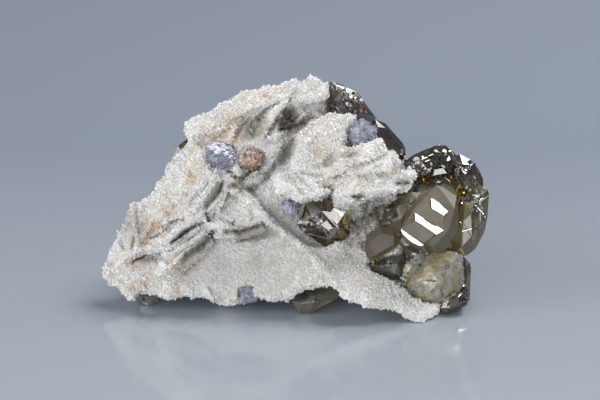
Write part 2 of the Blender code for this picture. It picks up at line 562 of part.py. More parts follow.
def single_crystals(collection):
    """The members of each sphalerite crystal or pair that stands by itself, under the node's name."""
    olive = grown("olive", (
        (-0.6, -5.0), (1.0, -1.0), (2.1, 0.4), (4.7, 0.8), (6.6, 0.1), (9.1, -2.3), (9.6, -4.8),
        (9.8, -7.2), (7.2, -9.2), (5.0, -9.4), (0.8, -6.6)), (
        (4.3, -2.2, 1.87), (6.8, -1.6, 0.58), (9.1, -2.3, 0.16), (7.8, -5.8, 2.8), (4.4, -5.4, 2.5),
        (2.2, -3.8, 1.5), (5.6, -7.8, 1.6)), 1.2, 5.5, collection)
    rear_top = grown("rear_top", (
        (5.9, 24.0), (7.4, 23.6), (9.0, 22.8), (11.3, 21.7), (12.5, 20.5), (13.5, 19.0), (15.3, 16.3),
        (14.4, 14.4), (11.0, 13.0), (7.0, 15.0), (5.2, 18.0), (5.3, 22.2)), (
        (8.2, 22.0, 1.8), (10.4, 20.2, 2.4), (12.4, 17.4, 2.6), (14.2, 15.4, 1.7), (9.0, 17.2, 3.2),
        (6.6, 20.0, 2.0)), 11.0, 7.0, collection)
    rear_low = grown("rear_low", (
        (15.0, 16.2), (17.1, 15.3), (17.5, 14.8), (19.0, 13.0), (20.6, 11.3), (21.3, 10.3), (21.1, 8.2),
        (19.6, 7.0), (16.0, 8.0), (13.6, 11.0), (13.4, 14.4)), (
        (15.6, 14.6, 1.6), (17.1, 14.4, 1.5), (20.4, 10.5, 1.4), (20.0, 8.6, 1.5), (16.0, 10.4, 2.0)),
        9.5, 6.5, collection)
    under = grown("under", (
        (-1.9, -20.0, 0.6), (-0.1, -17.8, 3.4), (1.9, -16.8, 4.4), (7.4, -16.6, 4.4), (8.6, -18.6, 2.6),
        (7.6, -19.6, 1.8), (3.7, -21.8), (2.2, -22.6, -0.1), (-0.2, -22.6, -0.1), (-1.4, -20.7, 0.4)), (
        (0.4, -20.6, 1.1), (3.0, -20.2, 1.3), (5.0, -20.2, 0.4)), -1.2, 6.0, collection)
    lower_left = grown("lower_left", (
        (-32.6, -17.4), (-27.5, -17.6), (-27.9, -19.2), (-28.6, -20.6), (-30.5, -21.2), (-32.3, -20.4),
        (-33.0, -19.0)), ((-31.2, -19.4, 0.9), (-29.2, -19.6, 0.9)), 3.4, 4.5, collection)
    left_rear = grown("left_rear", (
        (-26.2, 7.0), (-25.8, 8.4), (-24.4, 10.8), (-22.6, 12.2), (-19.0, 12.4), (-17.0, 9.0),
        (-19.0, 4.0), (-24.6, 4.4)), ((-23.0, 9.0, 1.6), (-21.0, 7.0, 2.2)), 12.5, 6.0, collection)
    forms = [(TETRA, 0.80), (CUBE, 0.94), (COUNTER_TETRA, 1.0)]
    far = []
    for name, centre, reach, angles in (("far_big", (-4.0, 21.5, 17.5), 5.6, (200, 20, 15)),
                                        ("far_small", (1.8, 22.0, 13.0), 4.2, (160, 35, 5)),
                                        ("far_low", (-6.4, 22.0, 11.6), 3.4, (120, 15, 35))):
        far.append(crystal(name, Vector(centre), reach, turned(*angles), forms, len(name) * 7, collection))
    return {"sphalerite_middle": [olive], "sphalerite_rear_top": [rear_top, rear_low],
            "sphalerite_underside": [under], "sphalerite_lower_left": [lower_left],
            "sphalerite_left_rear": [left_rear], "sphalerite_far_side": far}


def galena_grains(collection):
    """Blocky grey grains with their cube corners worn off."""
    worn = [(CUBE, 0.86), (TETRA, 0.98), (COUNTER_TETRA, 0.98), (DODECA, 1.0)]
    found = {}
    for node, place, reach, angles, stretch in (
            ("galena_left", (-15.9, 9.0, 1.8), 2.9, (20, 30, 10), (1.15, 1.0, 0.76)),
            ("galena_top", (12.6, 12.8, 5.2), 3.1, (40, 10, 25), (0.9, 1.0, 1.05)),
            ("galena_middle", (-1.8, -1.2, 1.6), 1.9, (60, 20, 5), (1.15, 1.0, 0.8)),
            ("galena_low", (-10.2, -19.2, 0.4), 1.9, (15, 45, 12), (1.15, 1.0, 0.68))):
        found[node] = [crystal("worn_" + node, placed(*place), reach, turned(*angles), worn, len(node),
                               collection, stretch)]
    return found


def carbonate_grain(collection):
    """The rusty grain beside the left galena."""
    rhomb = [(CUBE, 0.9), (TETRA, 0.95), (COUNTER_TETRA, 1.05)]
    return [crystal("rust", placed(-9.5, 8.1, 2.7), 2.5, turned(35, 28, 18), rhomb, 11, collection,
                    (1.1, 1.0, 0.9))]


def rooms_for(members, gap, collection):
    rooms = []
    for member in members:
        rooms.append(room_around("room_" + member.name, member, gap, collection))
    return rooms


def fused(node, members, rooms, parts, look):
    """One solid of the crystals that grew together, clear of the rooms given."""
    base = members[0]
    combine(base, members[1:], "UNION")
    combine(base, rooms, "DIFFERENCE")
    solid = largest_body(node, base, parts)
    solid.data.materials.clear()
    solid.data.materials.append(look)
    return solid


def main():
    clear_scene()
    scene = bpy.context.scene
    parts = bpy.data.collections.new("cleiophane_sphalerite")
    shapes = bpy.data.collections.new("shapes_that_are_joined_or_cut")
    scene.collection.children.link(parts)
    scene.collection.children.link(shapes)

    quartz = material("quartz", (0.72, 0.70, 0.67), 0.6)
    olive = material("olive_sphalerite", (0.16, 0.15, 0.09), 0.12)
    galena = material("galena", (0.36, 0.37, 0.44), 0.3, 0.8)
    rust = material("rusty_carbonate", (0.45, 0.30, 0.22), 0.6)

    groups = {"sphalerite_right_cluster": right_cluster(shapes)}
    groups.update(single_crystals(shapes))
    minor = galena_grains(shapes)
    minor["carbonate_grain"] = carbonate_grain(shapes)

    ground = hull("ground", [Vector((x, y, z)) for x in (-60, 60) for y in (-60, 60)
                             for z in (-GROUND_CUT, 0.0)], shapes)
    every_room = []
    grain_rooms = []
    for members in minor.values():
        grain_rooms += rooms_for(members, ROOM, shapes)
    for members in groups.values():
        every_room += rooms_for(members, ROOM, shapes)

    base, lumps = core(shapes)
    combine(base, lumps + front_blades(shapes) + rear_blades(shapes) + feet(shapes), "UNION")
    combine(base, every_room + grain_rooms + [ground], "DIFFERENCE")
    stone = largest_body("quartz_matrix", base, parts)
    stone.data.materials.clear()
    stone.data.materials.append(quartz)

    for node, members in groups.items():
        fused(node, members, [ground], parts, olive)
    for node, members in minor.items():
        fused(node, members, every_room + [ground], parts, rust if node == "carbonate_grain" else galena)

    for part in parts.objects:
        part.data.transform(Matrix.Translation(-MIDDLE * MM))
    for shape in shapes.objects:
        shape.modifiers.clear()
        shape.hide_render = True
        shape.display_type = "WIRE"


main()
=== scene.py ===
"""Looks of the cleiophane sphalerite specimen: sugar-coated quartz blades, glassy olive sphalerite,
galena and a rusty carbonate grain, on a plain floor. Lengths are millimetres until a mesh is made."""

import math
import random

import bmesh
import bpy
import numpy as np
from mathutils import Euler, Matrix, Vector, noise
from mathutils.bvhtree import BVHTree


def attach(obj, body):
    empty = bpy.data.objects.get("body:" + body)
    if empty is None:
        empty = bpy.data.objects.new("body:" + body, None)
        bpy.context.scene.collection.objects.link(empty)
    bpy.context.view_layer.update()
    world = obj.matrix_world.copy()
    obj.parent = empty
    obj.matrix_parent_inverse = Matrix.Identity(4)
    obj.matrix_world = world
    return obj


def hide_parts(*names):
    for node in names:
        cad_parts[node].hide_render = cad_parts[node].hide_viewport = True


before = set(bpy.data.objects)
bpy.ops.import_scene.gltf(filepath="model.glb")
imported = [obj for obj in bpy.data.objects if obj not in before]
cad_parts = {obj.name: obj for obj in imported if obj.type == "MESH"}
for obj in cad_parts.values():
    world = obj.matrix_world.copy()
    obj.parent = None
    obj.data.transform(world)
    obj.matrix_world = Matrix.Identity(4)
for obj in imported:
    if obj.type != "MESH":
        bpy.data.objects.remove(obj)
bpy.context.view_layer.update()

MM = 0.001

# The eye that the places are measured from, as in the part's source
VIEW_TILT = math.radians(18.0)
EYE_DISTANCE = 450.0
SIGHT_POINT = Vector((0.79, -7.55, 21.2))
ACROSS = Vector((1.0, 0.0, 0.0))
UPWARD = Vector((0.0, math.sin(VIEW_TILT), math.cos(VIEW_TILT)))
AWAY = Vector((0.0, math.cos(VIEW_TILT), -math.sin(VIEW_TILT)))


def placed(across, up, back):
    """The point seen at (across, up), back millimetres behind the middle plane."""
    spread = 1.0 + back / EYE_DISTANCE
    return SIGHT_POINT + ACROSS * (across * spread) + UPWARD * (up * spread) + AWAY * back


def seen_at(points):
    """Across, up and back, as the eye sees them, of an array of points in millimetres."""
    offset = points - np.array(SIGHT_POINT)
    back = offset @ np.array(AWAY)
    spread = 1.0 + back / EYE_DISTANCE
    return offset @ np.array(ACROSS) / spread, offset @ np.array(UPWARD) / spread, back


def seen_spot(place):
    """Across, up and back of one place in metres."""
    return [values[0] for values in seen_at(np.array([place]) / MM)]


# Meshes

def new_object(name, mesh):
    made = bpy.data.objects.new(name, mesh)
    bpy.context.scene.collection.objects.link(made)
    return made


def joined(first, second):
    """One object of both meshes."""
    body = bmesh.new()
    body.from_mesh(first.data)
    body.from_mesh(second.data)
    body.to_mesh(first.data)
    body.free()
    bpy.data.objects.remove(second, do_unlink=True)
    return first


def node_copy(node, name):
    """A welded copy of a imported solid, as a new object."""
    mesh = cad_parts[node].data.copy()
    mesh.materials.clear()
    body = bmesh.new()
    body.from_mesh(mesh)
    bmesh.ops.remove_doubles(body, verts=body.verts, dist=1e-7)
    body.to_mesh(mesh)
    body.free()
    mesh.name = name
    return new_object(name, mesh)


def baked(source, name):
    """A plain mesh object of what the source's modifiers make, which takes the source's place."""
    bpy.context.view_layer.update()
    graph = bpy.context.evaluated_depsgraph_get()
    mesh = bpy.data.meshes.new_from_object(source.evaluated_get(graph))
    old = source.data
    bpy.data.objects.remove(source, do_unlink=True)
    if old.users == 0:
        bpy.data.meshes.remove(old)
    mesh.name = name
    return new_object(name, mesh)


def coordinates(mesh):
    """The mesh's points in metres, as an array."""
    flat = np.empty(len(mesh.vertices) * 3, dtype=np.float32)
    mesh.vertices.foreach_get("co", flat)
    return flat.reshape(-1, 3).astype(float)


def normals_of(mesh):
    flat = np.empty(len(mesh.vertices) * 3, dtype=np.float32)
    mesh.vertex_normals.foreach_get("vector", flat)
    return flat.reshape(-1, 3).astype(float)


def noise_at(points, scale, seed):
    """Smooth noise from -1 to 1 at points in millimetres; scale is the size of its lumps."""
    shift = Vector((seed * 13.7, seed * 5.1, seed * 9.3))
    return np.array([noise.noise(Vector(point) / scale + shift) for point in points])


def crumbs_at(points, size):
    """Rounded crumbs with sharp creases between them, from 0 to about 1, at points in millimetres."""
    return np.array([1.0 - noise.voronoi(Vector(point) / size)[0][0] for point in points])


def store(mesh, name, values, domain="POINT"):
    """Keeps one number for each point, or for each face, under a name that the finishes read."""
    layer = mesh.attributes.new(name, "FLOAT", domain)
    layer.data.foreach_set("value", np.asarray(values, dtype=np.float32))


def move_points(mesh, points):
    """Puts the mesh's points at these places, in millimetres."""
    mesh.vertices.foreach_set("co", (points * MM).astype(np.float32).ravel())
    mesh.update()


def prism(body, front, rear):
    """A closed solid between two rings of points."""
    first = [body.verts.new(point) for point in front]
    last = [body.verts.new(point) for point in rear]
    body.faces.new(first)
    body.faces.new(list(reversed(last)))
    for number in range(len(first)):
        after = (number + 1) % len(first)
        body.faces.new((first[number], last[number], last[after], first[after]))


def object_of(body, name):
    """An object of a finished bmesh, with its faces turned outwards."""
    bmesh.ops.recalc_face_normals(body, faces=body.faces)
    mesh = bpy.data.meshes.new(name)
    body.to_mesh(mesh)
    body.free()
    return new_object(name, mesh)


def dress(piece, finish):
    piece.data.materials.clear()
    piece.data.materials.append(finish)


# Node trees

def feed(tree, socket, value):
    """Gives a node's input a fixed value or a link from another node."""
    if isinstance(value, bpy.types.NodeSocket):
        tree.links.new(value, socket)
    else:
        socket.default_value = value


def add_node(tree, kind, values, settings):
    """A new node with its settings, and with its inputs fed by name or number."""
    made = tree.nodes.new(kind)
    for key, value in settings.items():
        setattr(made, key, value)
    for socket, value in (values or {}).items():
        feed(tree, made.inputs[socket], value)
    return made


MIX_FIRST, MIX_SECOND, MIX_RESULT = 6, 7, 2      # a Mix node's sockets for colours


class Looks:
    """A material's node tree, with short calls for the nodes that the finishes use."""

    def __init__(self, name):
        self.material = bpy.data.materials.new(name)
        self.material.use_nodes = True
        self.tree = self.material.node_tree
        self.shader = self.tree.nodes["Principled BSDF"]
        self.output = self.tree.nodes["Material Output"]
        self.place = self.tree.nodes.new("ShaderNodeTexCoord").outputs["Object"]

    def node(self, kind, values=None, **settings):
        return add_node(self.tree, kind, values, settings)

    def set(self, **sockets):
        for name, value in sockets.items():
            feed(self.tree, self.shader.inputs[name.replace("_", " ")], value)

    def noise(self, scale, detail=3.0, roughness=0.55):
        made = self.node("ShaderNodeTexNoise", {"Vector": self.place, "Scale": scale,
                                                "Detail": detail, "Roughness": roughness})
        return made.outputs["Fac"]

    def ramp(self, value, low, high, to_low=0.0, to_high=1.0):
        made = self.node("ShaderNodeMapRange", {"Value": value, "From Min": low, "From Max": high,
                                                "To Min": to_low, "To Max": to_high})
        return made.outputs["Result"]

    def mix(self, share, first, second):
        made = self.node("ShaderNodeMix", {"Factor": share, MIX_FIRST: first, MIX_SECOND: second},
                         data_type="RGBA")
        return made.outputs[MIX_RESULT]

    def spotted(self, first, second, scale, low, high, most=1.0, detail=3.0, roughness=0.55):
        """The first colour with spots of the second, where noise of this scale rises from low to high."""
        share = self.ramp(self.noise(scale, detail, roughness), low, high, 0.0, most)
        return self.mix(share, first, second)

    def math(self, operation, first, second):
        return self.node("ShaderNodeMath", {0: first, 1: second}, operation=operation).outputs[0]

    def attribute(self, name):
        return self.node("ShaderNodeAttribute", attribute_name=name).outputs["Fac"]

    def bump(self, height, strength, distance):
        made = self.node("ShaderNodeBump", {"Height": height, "Strength": strength, "Distance": distance})
        return made.outputs["Normal"]


# Colours of the finishes, dark and light of each
SUGAR = ((0.88, 0.87, 0.85, 1), (0.97, 0.968, 0.96, 1))
WARM_SUGAR = (0.84, 0.775, 0.68, 1)
DULL_SUGAR = (0.72, 0.70, 0.665, 1)
# Grey of the translucent quartz, also used as painted shade in hollows and under overhangs
GREY_QUARTZ_AND_SHADE = ((0.32, 0.30, 0.255, 1), (0.50, 0.455, 0.375, 1))
# Painted shade: the colours that darken the quartz in its narrow gaps and pockets
GAP_SHADE = ((0.05, 0.045, 0.03, 1), (0.17, 0.15, 0.11, 1))
RUST = ((0.60, 0.27, 0.10, 1), (0.78, 0.58, 0.38, 1))
OCHRE = (0.66, 0.52, 0.30, 1)
FROST_GREY = ((0.25, 0.245, 0.23, 1), (0.42, 0.40, 0.38, 1))
FROST_STRAW = ((0.27, 0.20, 0.07, 1), (0.46, 0.38, 0.20, 1))
LEAD_GREY = ((0.34, 0.35, 0.42, 1), (0.62, 0.63, 0.73, 1))
CARBONATE_BROWN = ((0.26, 0.14, 0.08, 1), (0.60, 0.40, 0.29, 1))
CARBONATE_PALE = (0.82, 0.74, 0.68, 1)
HONEY = (0.66, 0.56, 0.13, 1)             # what the sphalerite lets through
# The floor's painted fall-off of the light: lighter near the front, darker far back
FLOOR_NEAR = (0.41, 0.455, 0.50, 1)
FLOOR_FAR = (0.262, 0.298, 0.355, 1)

# Sphalerite: the clear and the warm colour of its skin, the dark colour of its painted shade, and how dense
# the crystal is inside
OLIVE = ((0.94, 0.94, 0.90, 1), (0.82, 0.64, 0.24, 1), (0.12, 0.06, 0.01, 1), 110.0)
AMBER = ((0.24, 0.19, 0.12, 1), (0.26, 0.15, 0.04, 1), (0.12, 0.06, 0.01, 1), 260.0)
PALE = ((0.97, 0.97, 0.94, 1), (0.90, 0.82, 0.56, 1), (0.30, 0.20, 0.06, 1), 22.0)

QUARTZ_IOR = 1.54
SPHALERITE_IOR = 2.37
FROSTED_IOR = 2.0


def quartz_finish(name, roughness):
    """Sugary quartz by attribute: greyer where grey is high, for grey quartz and for painted shade in the
    hollows; darker where deep is, with painted shade in the gaps and pockets; rusty where stain is.
    """
    looks = Looks(name)
    white = looks.spotted(*SUGAR, 1500.0, 0.36, 0.60, detail=2.0)
    white = looks.spotted(white, WARM_SUGAR, 330.0, 0.46, 0.62, 0.55, detail=5.0)
    white = looks.spotted(white, DULL_SUGAR, 520.0, 0.50, 0.64, 0.5, detail=5.0)
    # The grey attribute mixes in grey quartz and painted shade in the hollows
    grey = looks.spotted(*GREY_QUARTZ_AND_SHADE, 500.0, 0.42, 0.60)
    colour = looks.mix(looks.attribute("grey"), white, grey)
    # Painted shade in the gaps and pockets, where deep is high
    colour = looks.mix(looks.attribute("deep"), colour, looks.spotted(*GAP_SHADE, 900.0, 0.42, 0.62))
    rust = looks.spotted(*RUST, 1300.0, 0.40, 0.60)
    rust = looks.spotted(rust, OCHRE, 240.0, 0.50, 0.58)
    broken_up = looks.ramp(looks.noise(1100.0, 4.0), 0.36, 0.56, 0.25, 1.5)
    spots = looks.math("MULTIPLY", looks.attribute("stain"), broken_up)
    colour = looks.mix(looks.math("MINIMUM", spots, 1.0), colour, rust)
    looks.set(Base_Color=colour, Roughness=roughness, IOR=QUARTZ_IOR)
    return looks.material


def sphalerite_finish(name, clear, warm, dark, density):
    """Glassy sphalerite: see-through, with a strong reflection, fine grooves, and matt etched faces."""
    looks = Looks(name)
    groove_place = looks.node("ShaderNodeMapping", {"Vector": looks.place, "Rotation": (0.4, 0.9, 0.55)})
    grooves = looks.node("ShaderNodeTexWave", {"Vector": groove_place.outputs["Vector"], "Scale": 700.0,
                                               "Distortion": 1.2, "Detail": 2.0, "Detail Scale": 1.5},
                         bands_direction="Z").outputs["Fac"]
    patchy = looks.ramp(looks.noise(160.0), 0.45, 0.62)
    height = looks.math("MULTIPLY", grooves, patchy)
    etch = looks.attribute("etch")
    pits = looks.math("MULTIPLY", looks.noise(1400.0), looks.math("MULTIPLY", etch, 1.4))
    height = looks.math("MULTIPLY", looks.math("ADD", height, pits), looks.ramp(etch, 0.0, 0.04))
    roughness = looks.math("ADD", looks.ramp(looks.noise(260.0), 0.35, 0.75, 0.02, 0.10),
                           looks.math("MULTIPLY", etch, 0.40))
    tint = looks.spotted(clear, warm, 170.0, 0.44, 0.58)
    # Painted shade: the shade attribute darkens the tint at the top of the cluster and at a few low and side
    # places
    tint = looks.mix(looks.attribute("shade"), tint, dark)
    looks.set(Base_Color=tint, Roughness=roughness, IOR=SPHALERITE_IOR, Transmission_Weight=1.0,
              Normal=looks.bump(height, 0.22, 0.00006))
    volume = looks.node("ShaderNodeVolumeAbsorption", {"Color": HONEY, "Density": density})
    looks.tree.links.new(volume.outputs["Volume"], looks.output.inputs["Volume"])
    return looks.material


def frosted_finish(name):
    """The frosted crystal's skin: mottled grey, straw and amber, dull, with small glassy spots."""
    looks = Looks(name)
    grey = looks.spotted(*FROST_GREY, 900.0, 0.38, 0.62)
    straw = looks.spotted(*FROST_STRAW, 1100.0, 0.40, 0.62)
    tone = looks.spotted(grey, straw, 260.0, 0.40, 0.62, detail=8.0, roughness=0.75)
    looks.set(Base_Color=tone, Roughness=looks.ramp(looks.noise(700.0), 0.35, 0.65, 0.16, 0.55),
              IOR=FROSTED_IOR, Normal=looks.bump(looks.noise(1700.0), 0.4, 0.00008))
    return looks.material


def galena_finish(name):
    """Lead-grey cleavage faces with a lavender cast."""
    looks = Looks(name)
    looks.set(Base_Color=looks.spotted(*LEAD_GREY, 1500.0, 0.35, 0.65), Metallic=0.6,
              Roughness=looks.ramp(looks.noise(1100.0), 0.3, 0.7, 0.50, 0.75))
    return looks.material


def carbonate_finish(name):
    """A rusty, crumbly grain: pinkish brown with pale and dark crumbs."""
    looks = Looks(name)
    brown = looks.spotted(*CARBONATE_BROWN, 800.0, 0.40, 0.60)
    tone = looks.spotted(brown, CARBONATE_PALE, 1500.0, 0.52, 0.66, detail=4.0)
    looks.set(Base_Color=tone, Roughness=0.5, Normal=looks.bump(looks.noise(1800.0), 0.6, 0.0002))
    return looks.material


def floor_finish(name):
    """Smooth pale acrylic, a little darker towards the far side: a painted fall-off of the light."""
    looks = Looks(name)
    depth = looks.node("ShaderNodeSeparateXYZ", {"Vector": looks.place}).outputs["Y"]
    tone = looks.mix(looks.ramp(depth, -0.08, 0.10), FLOOR_NEAR, FLOOR_FAR)
    looks.set(Base_Color=tone, Roughness=0.11)
    return looks.material


# Zones of the quartz, each (across, up, radius, strength), all as seen from the front
STAINS = (
    (-33.4, -11.9, 1.0, 1.0), (-34.6, -12.8, 0.9, 0.8), (-31.4, -8.5, 1.1, 0.9), (-26.2, -2.6, 1.2, 1.0),
    (-25.4, -1.4, 0.9, 0.8), (-29.6, -5.0, 1.3, 0.9), (-30.6, -6.6, 1.1, 0.8), (-27.0, 1.0, 1.0, 0.6),
    (-31.3, -16.8, 0.9, 0.8), (-33.0, -17.6, 1.0, 0.7), (-24.4, -18.6, 1.0, 0.6), (-4.2, 21.6, 1.1, 1.0),
    (-7.0, 20.8, 1.1, 0.8), (-9.4, 20.3, 1.0, 0.6), (-13.6, 15.4, 3.4, 0.46), (-18.0, 12.6, 2.4, 0.42),
    (-22.0, 4.8, 2.0, 0.65), (-20.2, 6.6, 1.5, 0.6), (-3.4, 17.4, 1.0, 0.6), (-13.0, 11.5, 0.9, 0.7),
    (-15.2, 12.8, 0.8, 0.5), (-12.4, 2.4, 1.3, 0.5), (-24.2, -13.4, 1.8, 0.6), (-21.6, -12.2, 1.4, 0.5),
    (-32.6, -13.6, 1.2, 0.5), (-22.8, 1.0, 1.0, 0.5), (-28.2, -5.4, 1.0, 0.6), (-9.0, 17.6, 2.0, 0.3),
    (8.6, 8.6, 5.0, 0.12), (3.6, 9.6, 3.0, 0.26), (9.6, -13.0, 2.4, 0.26), (19.0, 6.0, 1.4, 0.3),
    (12.6, 4.4, 2.4, 0.22))
# Grey translucent quartz, and painted shade in hollows and under the lobes
GREY_AND_SHADED_ZONES = (
    (-32.6, -5.0, 3.8, 0.75), (-8.0, -11.0, 9.0, 0.26), (-17.0, -10.0, 6.0, 0.28),
    (-8.0, 13.4, 2.8, 0.55), (-13.8, 1.0, 2.4, 0.5), (-1.8, 15.6, 3.0, 0.8), (9.4, -4.8, 4.4, 0.95),
    (-4.0, -2.0, 3.6, 0.5), (9.0, -11.6, 3.4, 0.4), (14.8, -3.4, 3.6, 1.0), (-1.0, 4.0, 2.0, 0.3),
    (4.0, 10.6, 4.4, 0.22), (-16.0, 16.4, 5.0, 0.16), (11.0, 4.0, 4.0, 0.16), (-2.0, -8.0, 2.4, 0.3),
    (2.0, -10.4, 2.4, 0.3), (6.0, -13.6, 2.4, 0.25), (15.4, -15.8, 1.8, 0.3))
# Pockets, the wall under the right lobes and the foot of the carbonate grain, darkened with painted shade
# like the gaps
DARKS = (
    (10.8, -4.8, 3.6, 1.0), (13.8, -2.6, 3.0, 1.0), (5.4, -0.8, 1.8, 0.9), (2.4, -1.0, 1.6, 0.8),
    (12.4, -8.0, 1.6, 0.6), (16.0, -1.4, 2.2, 0.7), (20.6, 3.6, 1.8, 0.5), (-0.6, -3.6, 1.6, 0.6),
    (-11.0, 5.4, 1.3, 0.7), (-8.4, 6.2, 1.2, 0.5), (-2.6, 16.2, 1.8, 0.55), (10.4, 9.2, 1.4, 0.6),
    (4.2, 18.4, 1.2, 0.6))


def zone_weights(points, zones):
    """How strongly each point of the show side lies in the zones, with soft edges."""
    across, up, back = seen_at(points)
    total = np.zeros(len(points))
    for zone_across, zone_up, radius, strength in zones:
        far = ((across - zone_across) ** 2 + (up - zone_up) ** 2) / radius ** 2
        total = np.maximum(total, strength * np.exp(-far * 1.4))
    return total * np.clip(1.4 - back / 14.0, 0.0, 1.0)


# Quartz

STONE_VOXEL = 0.30        # grid that joins the blades into one skin
STONE_TRIANGLES = 180000
STONE_SINK = 0.12         # room that the skin leaves for the druse
CRUMB_LEVEL = 0.55        # how high a crumb stands on the whole, from 0 to 1
SKIRT = (-8.0, -14.0, 17.0, 5.0)    # the smooth skirt as seen: its middle and its half sizes
BEHIND = 12.0             # how far back the detail of the show side fades out

BLADE_COUNT = 520         # places tried for small extra blades
BLADE_SETS = ((-35, 48), (40, 40), (-5, 62), (110, 25), (200, 35))   # turn and lift of the blade families
BLADE_CORNERS = 9
BLADE_SIZE = (0.7, 2.2)
BLADE_HALF_THICKNESS = (0.16, 0.28)
SMALLEST_CARRIER = 0.02   # area of the smallest triangle that carries one, square millimetres

# Smooth stretches without small blades: from and to across, from and to up, and how far back
NO_LIMIT = 1000.0
SMOOTH_AREAS = ((-26.0, 6.0, -19.0, -8.5, 9.0), (-14.0, -4.6, 10.5, 18.0, 6.0),
                (2.0, NO_LIMIT, -NO_LIMIT, -10.0, NO_LIMIT))
LONG_BLADE = (-19.2, 7.2, -0.826)   # a place on the long blade's ridge as seen, and its slope

# Hollows between the blades: across, up, half length, half width, slope in degrees, depth
HOLLOWS = (
    (-17.2, 1.0, 3.4, 1.1, 52, 2.4), (-26.0, -5.6, 2.6, 0.7, 44, 1.4), (-23.6, -7.0, 2.9, 0.9, 38, 2.4),
    (-20.6, -9.6, 4.2, 0.9, 44, 2.6), (-31.4, -11.6, 1.9, 0.8, 15, 1.6), (-2.4, 15.8, 3.0, 1.6, 52, 2.6),
    (-1.0, 14.0, 3.2, 0.9, 28, 3.0), (-2.4, 9.4, 3.4, 1.4, 60, 2.4), (-9.0, 14.2, 3.6, 1.8, 40, 1.8),
    (-9.4, 2.4, 1.3, 1.0, 20, 1.8), (-9.2, -7.0, 5.4, 1.0, 8, 1.8), (-13.6, 2.8, 1.5, 0.7, 20, 1.2),
    (-6.0, 5.6, 2.6, 0.8, 50, 1.4), (5.0, 0.4, 1.6, 0.5, -10, 1.2), (11.6, 0.8, 1.6, 0.6, 10, 1.4),
    (5.6, 7.6, 2.0, 1.2, 30, 0.9), (-27.4, -3.6, 2.2, 0.4, 44, 0.8), (-29.6, -6.6, 2.6, 0.5, 50, 0.8))

# Narrow gaps between the blades, dark with painted shade: the line as seen, half width, depth and darkness of
# the painted shade
CREVICES = (
    (((-17.3, -6.4), (-18.4, -7.6), (-19.4, -9.2), (-21.4, -10.2), (-22.8, -11.0), (-23.4, -12.0)),
     0.62, 1.8, 1.0),
    (((-19.4, -4.6), (-21.0, -5.3), (-22.8, -6.2), (-24.2, -7.4), (-25.8, -8.4)), 0.34, 1.2, 0.8),
    (((-20.8, -7.0), (-22.2, -8.0), (-24.0, -9.0)), 0.20, 0.8, 0.6),
    (((-23.0, -3.9), (-26.0, -4.5), (-28.2, -5.7)), 0.26, 0.8, 0.6),
    (((-28.0, -6.8), (-29.8, -7.7)), 0.30, 0.8, 0.7), (((-33.2, -7.6), (-33.7, -9.8)), 0.32, 0.7, 0.6),
    (((-28.2, -11.4), (-30.0, -11.6), (-31.4, -12.2)), 0.70, 1.2, 0.6),
    (((-31.2, -11.5), (-33.5, -12.5)), 0.24, 0.9, 0.9),
    (((-15.0, -6.5), (-12.0, -6.3), (-10.0, -5.7), (-7.6, -5.0)), 0.50, 1.4, 1.0),
    (((-15.4, 3.6), (-17.0, 1.2), (-18.8, -1.2)), 0.50, 1.2, 0.5),
    (((-12.5, 0.2), (-13.0, -1.9)), 0.24, 0.7, 0.5), (((-15.8, -1.5), (-13.2, -1.0)), 0.24, 0.6, 0.4),
    (((-16.9, -2.0), (-17.4, -3.5)), 0.26, 0.6, 0.5),
    (((-11.9, -2.2), (-12.4, -4.0), (-13.8, -4.9)), 0.26, 0.8, 0.6),
    (((-14.3, 5.7), (-12.7, 4.4), (-11.0, 4.6), (-9.6, 6.0), (-8.0, 7.4)), 0.40, 1.4, 1.0),
    (((-10.1, 2.3), (-8.9, 1.2)), 0.40, 0.8, 0.5), (((-8.4, 2.8), (-6.2, 4.5)), 0.55, 0.9, 0.5),
    (((-8.0, 5.2), (-6.4, 5.6)), 0.30, 0.7, 0.4),
    (((-4.1, 14.0), (-2.0, 14.5), (-0.4, 15.2), (1.0, 15.9), (2.8, 16.8)), 0.46, 1.8, 1.0),
    (((-3.6, 15.2), (-2.6, 16.4), (-1.6, 17.8)), 0.90, 1.6, 0.75),
    (((-2.1, 20.0), (-1.0, 21.0)), 0.40, 0.8, 0.6),
    (((-7.8, 17.6), (-5.6, 19.0), (-4.2, 19.4)), 0.24, 0.7, 0.5),
    (((-12.8, 12.6), (-11.4, 15.0), (-9.8, 16.4)), 0.36, 1.0, 0.6),
    (((-5.8, 13.8), (-5.1, 14.9), (-4.4, 16.4)), 0.38, 0.5, 0.7),
    (((-16.9, 12.3), (-15.0, 13.8)), 0.30, 0.6, 0.4),
    (((-3.8, 11.8), (-2.6, 9.4), (-5.2, 6.8)), 0.80, 1.2, 0.35),
    (((0.4, 5.4), (3.9, 4.8)), 0.45, 0.6, 0.35), (((4.8, 2.6), (6.6, 2.8)), 0.26, 0.6, 0.6),
    (((10.6, 0.4), (12.6, 0.4)), 0.34, 1.0, 0.9), (((8.6, 8.8), (10.0, 8.6)), 0.45, 1.0, 0.8),
    (((6.8, 4.4), (8.4, 4.6)), 0.30, 0.6, 0.4), (((15.0, 6.6), (16.2, 6.7)), 0.28, 0.7, 0.5),
    (((19.4, 3.2), (21.8, 3.4)), 0.40, 0.8, 0.7), (((3.4, 17.8), (5.0, 17.2)), 0.40, 0.8, 0.8))

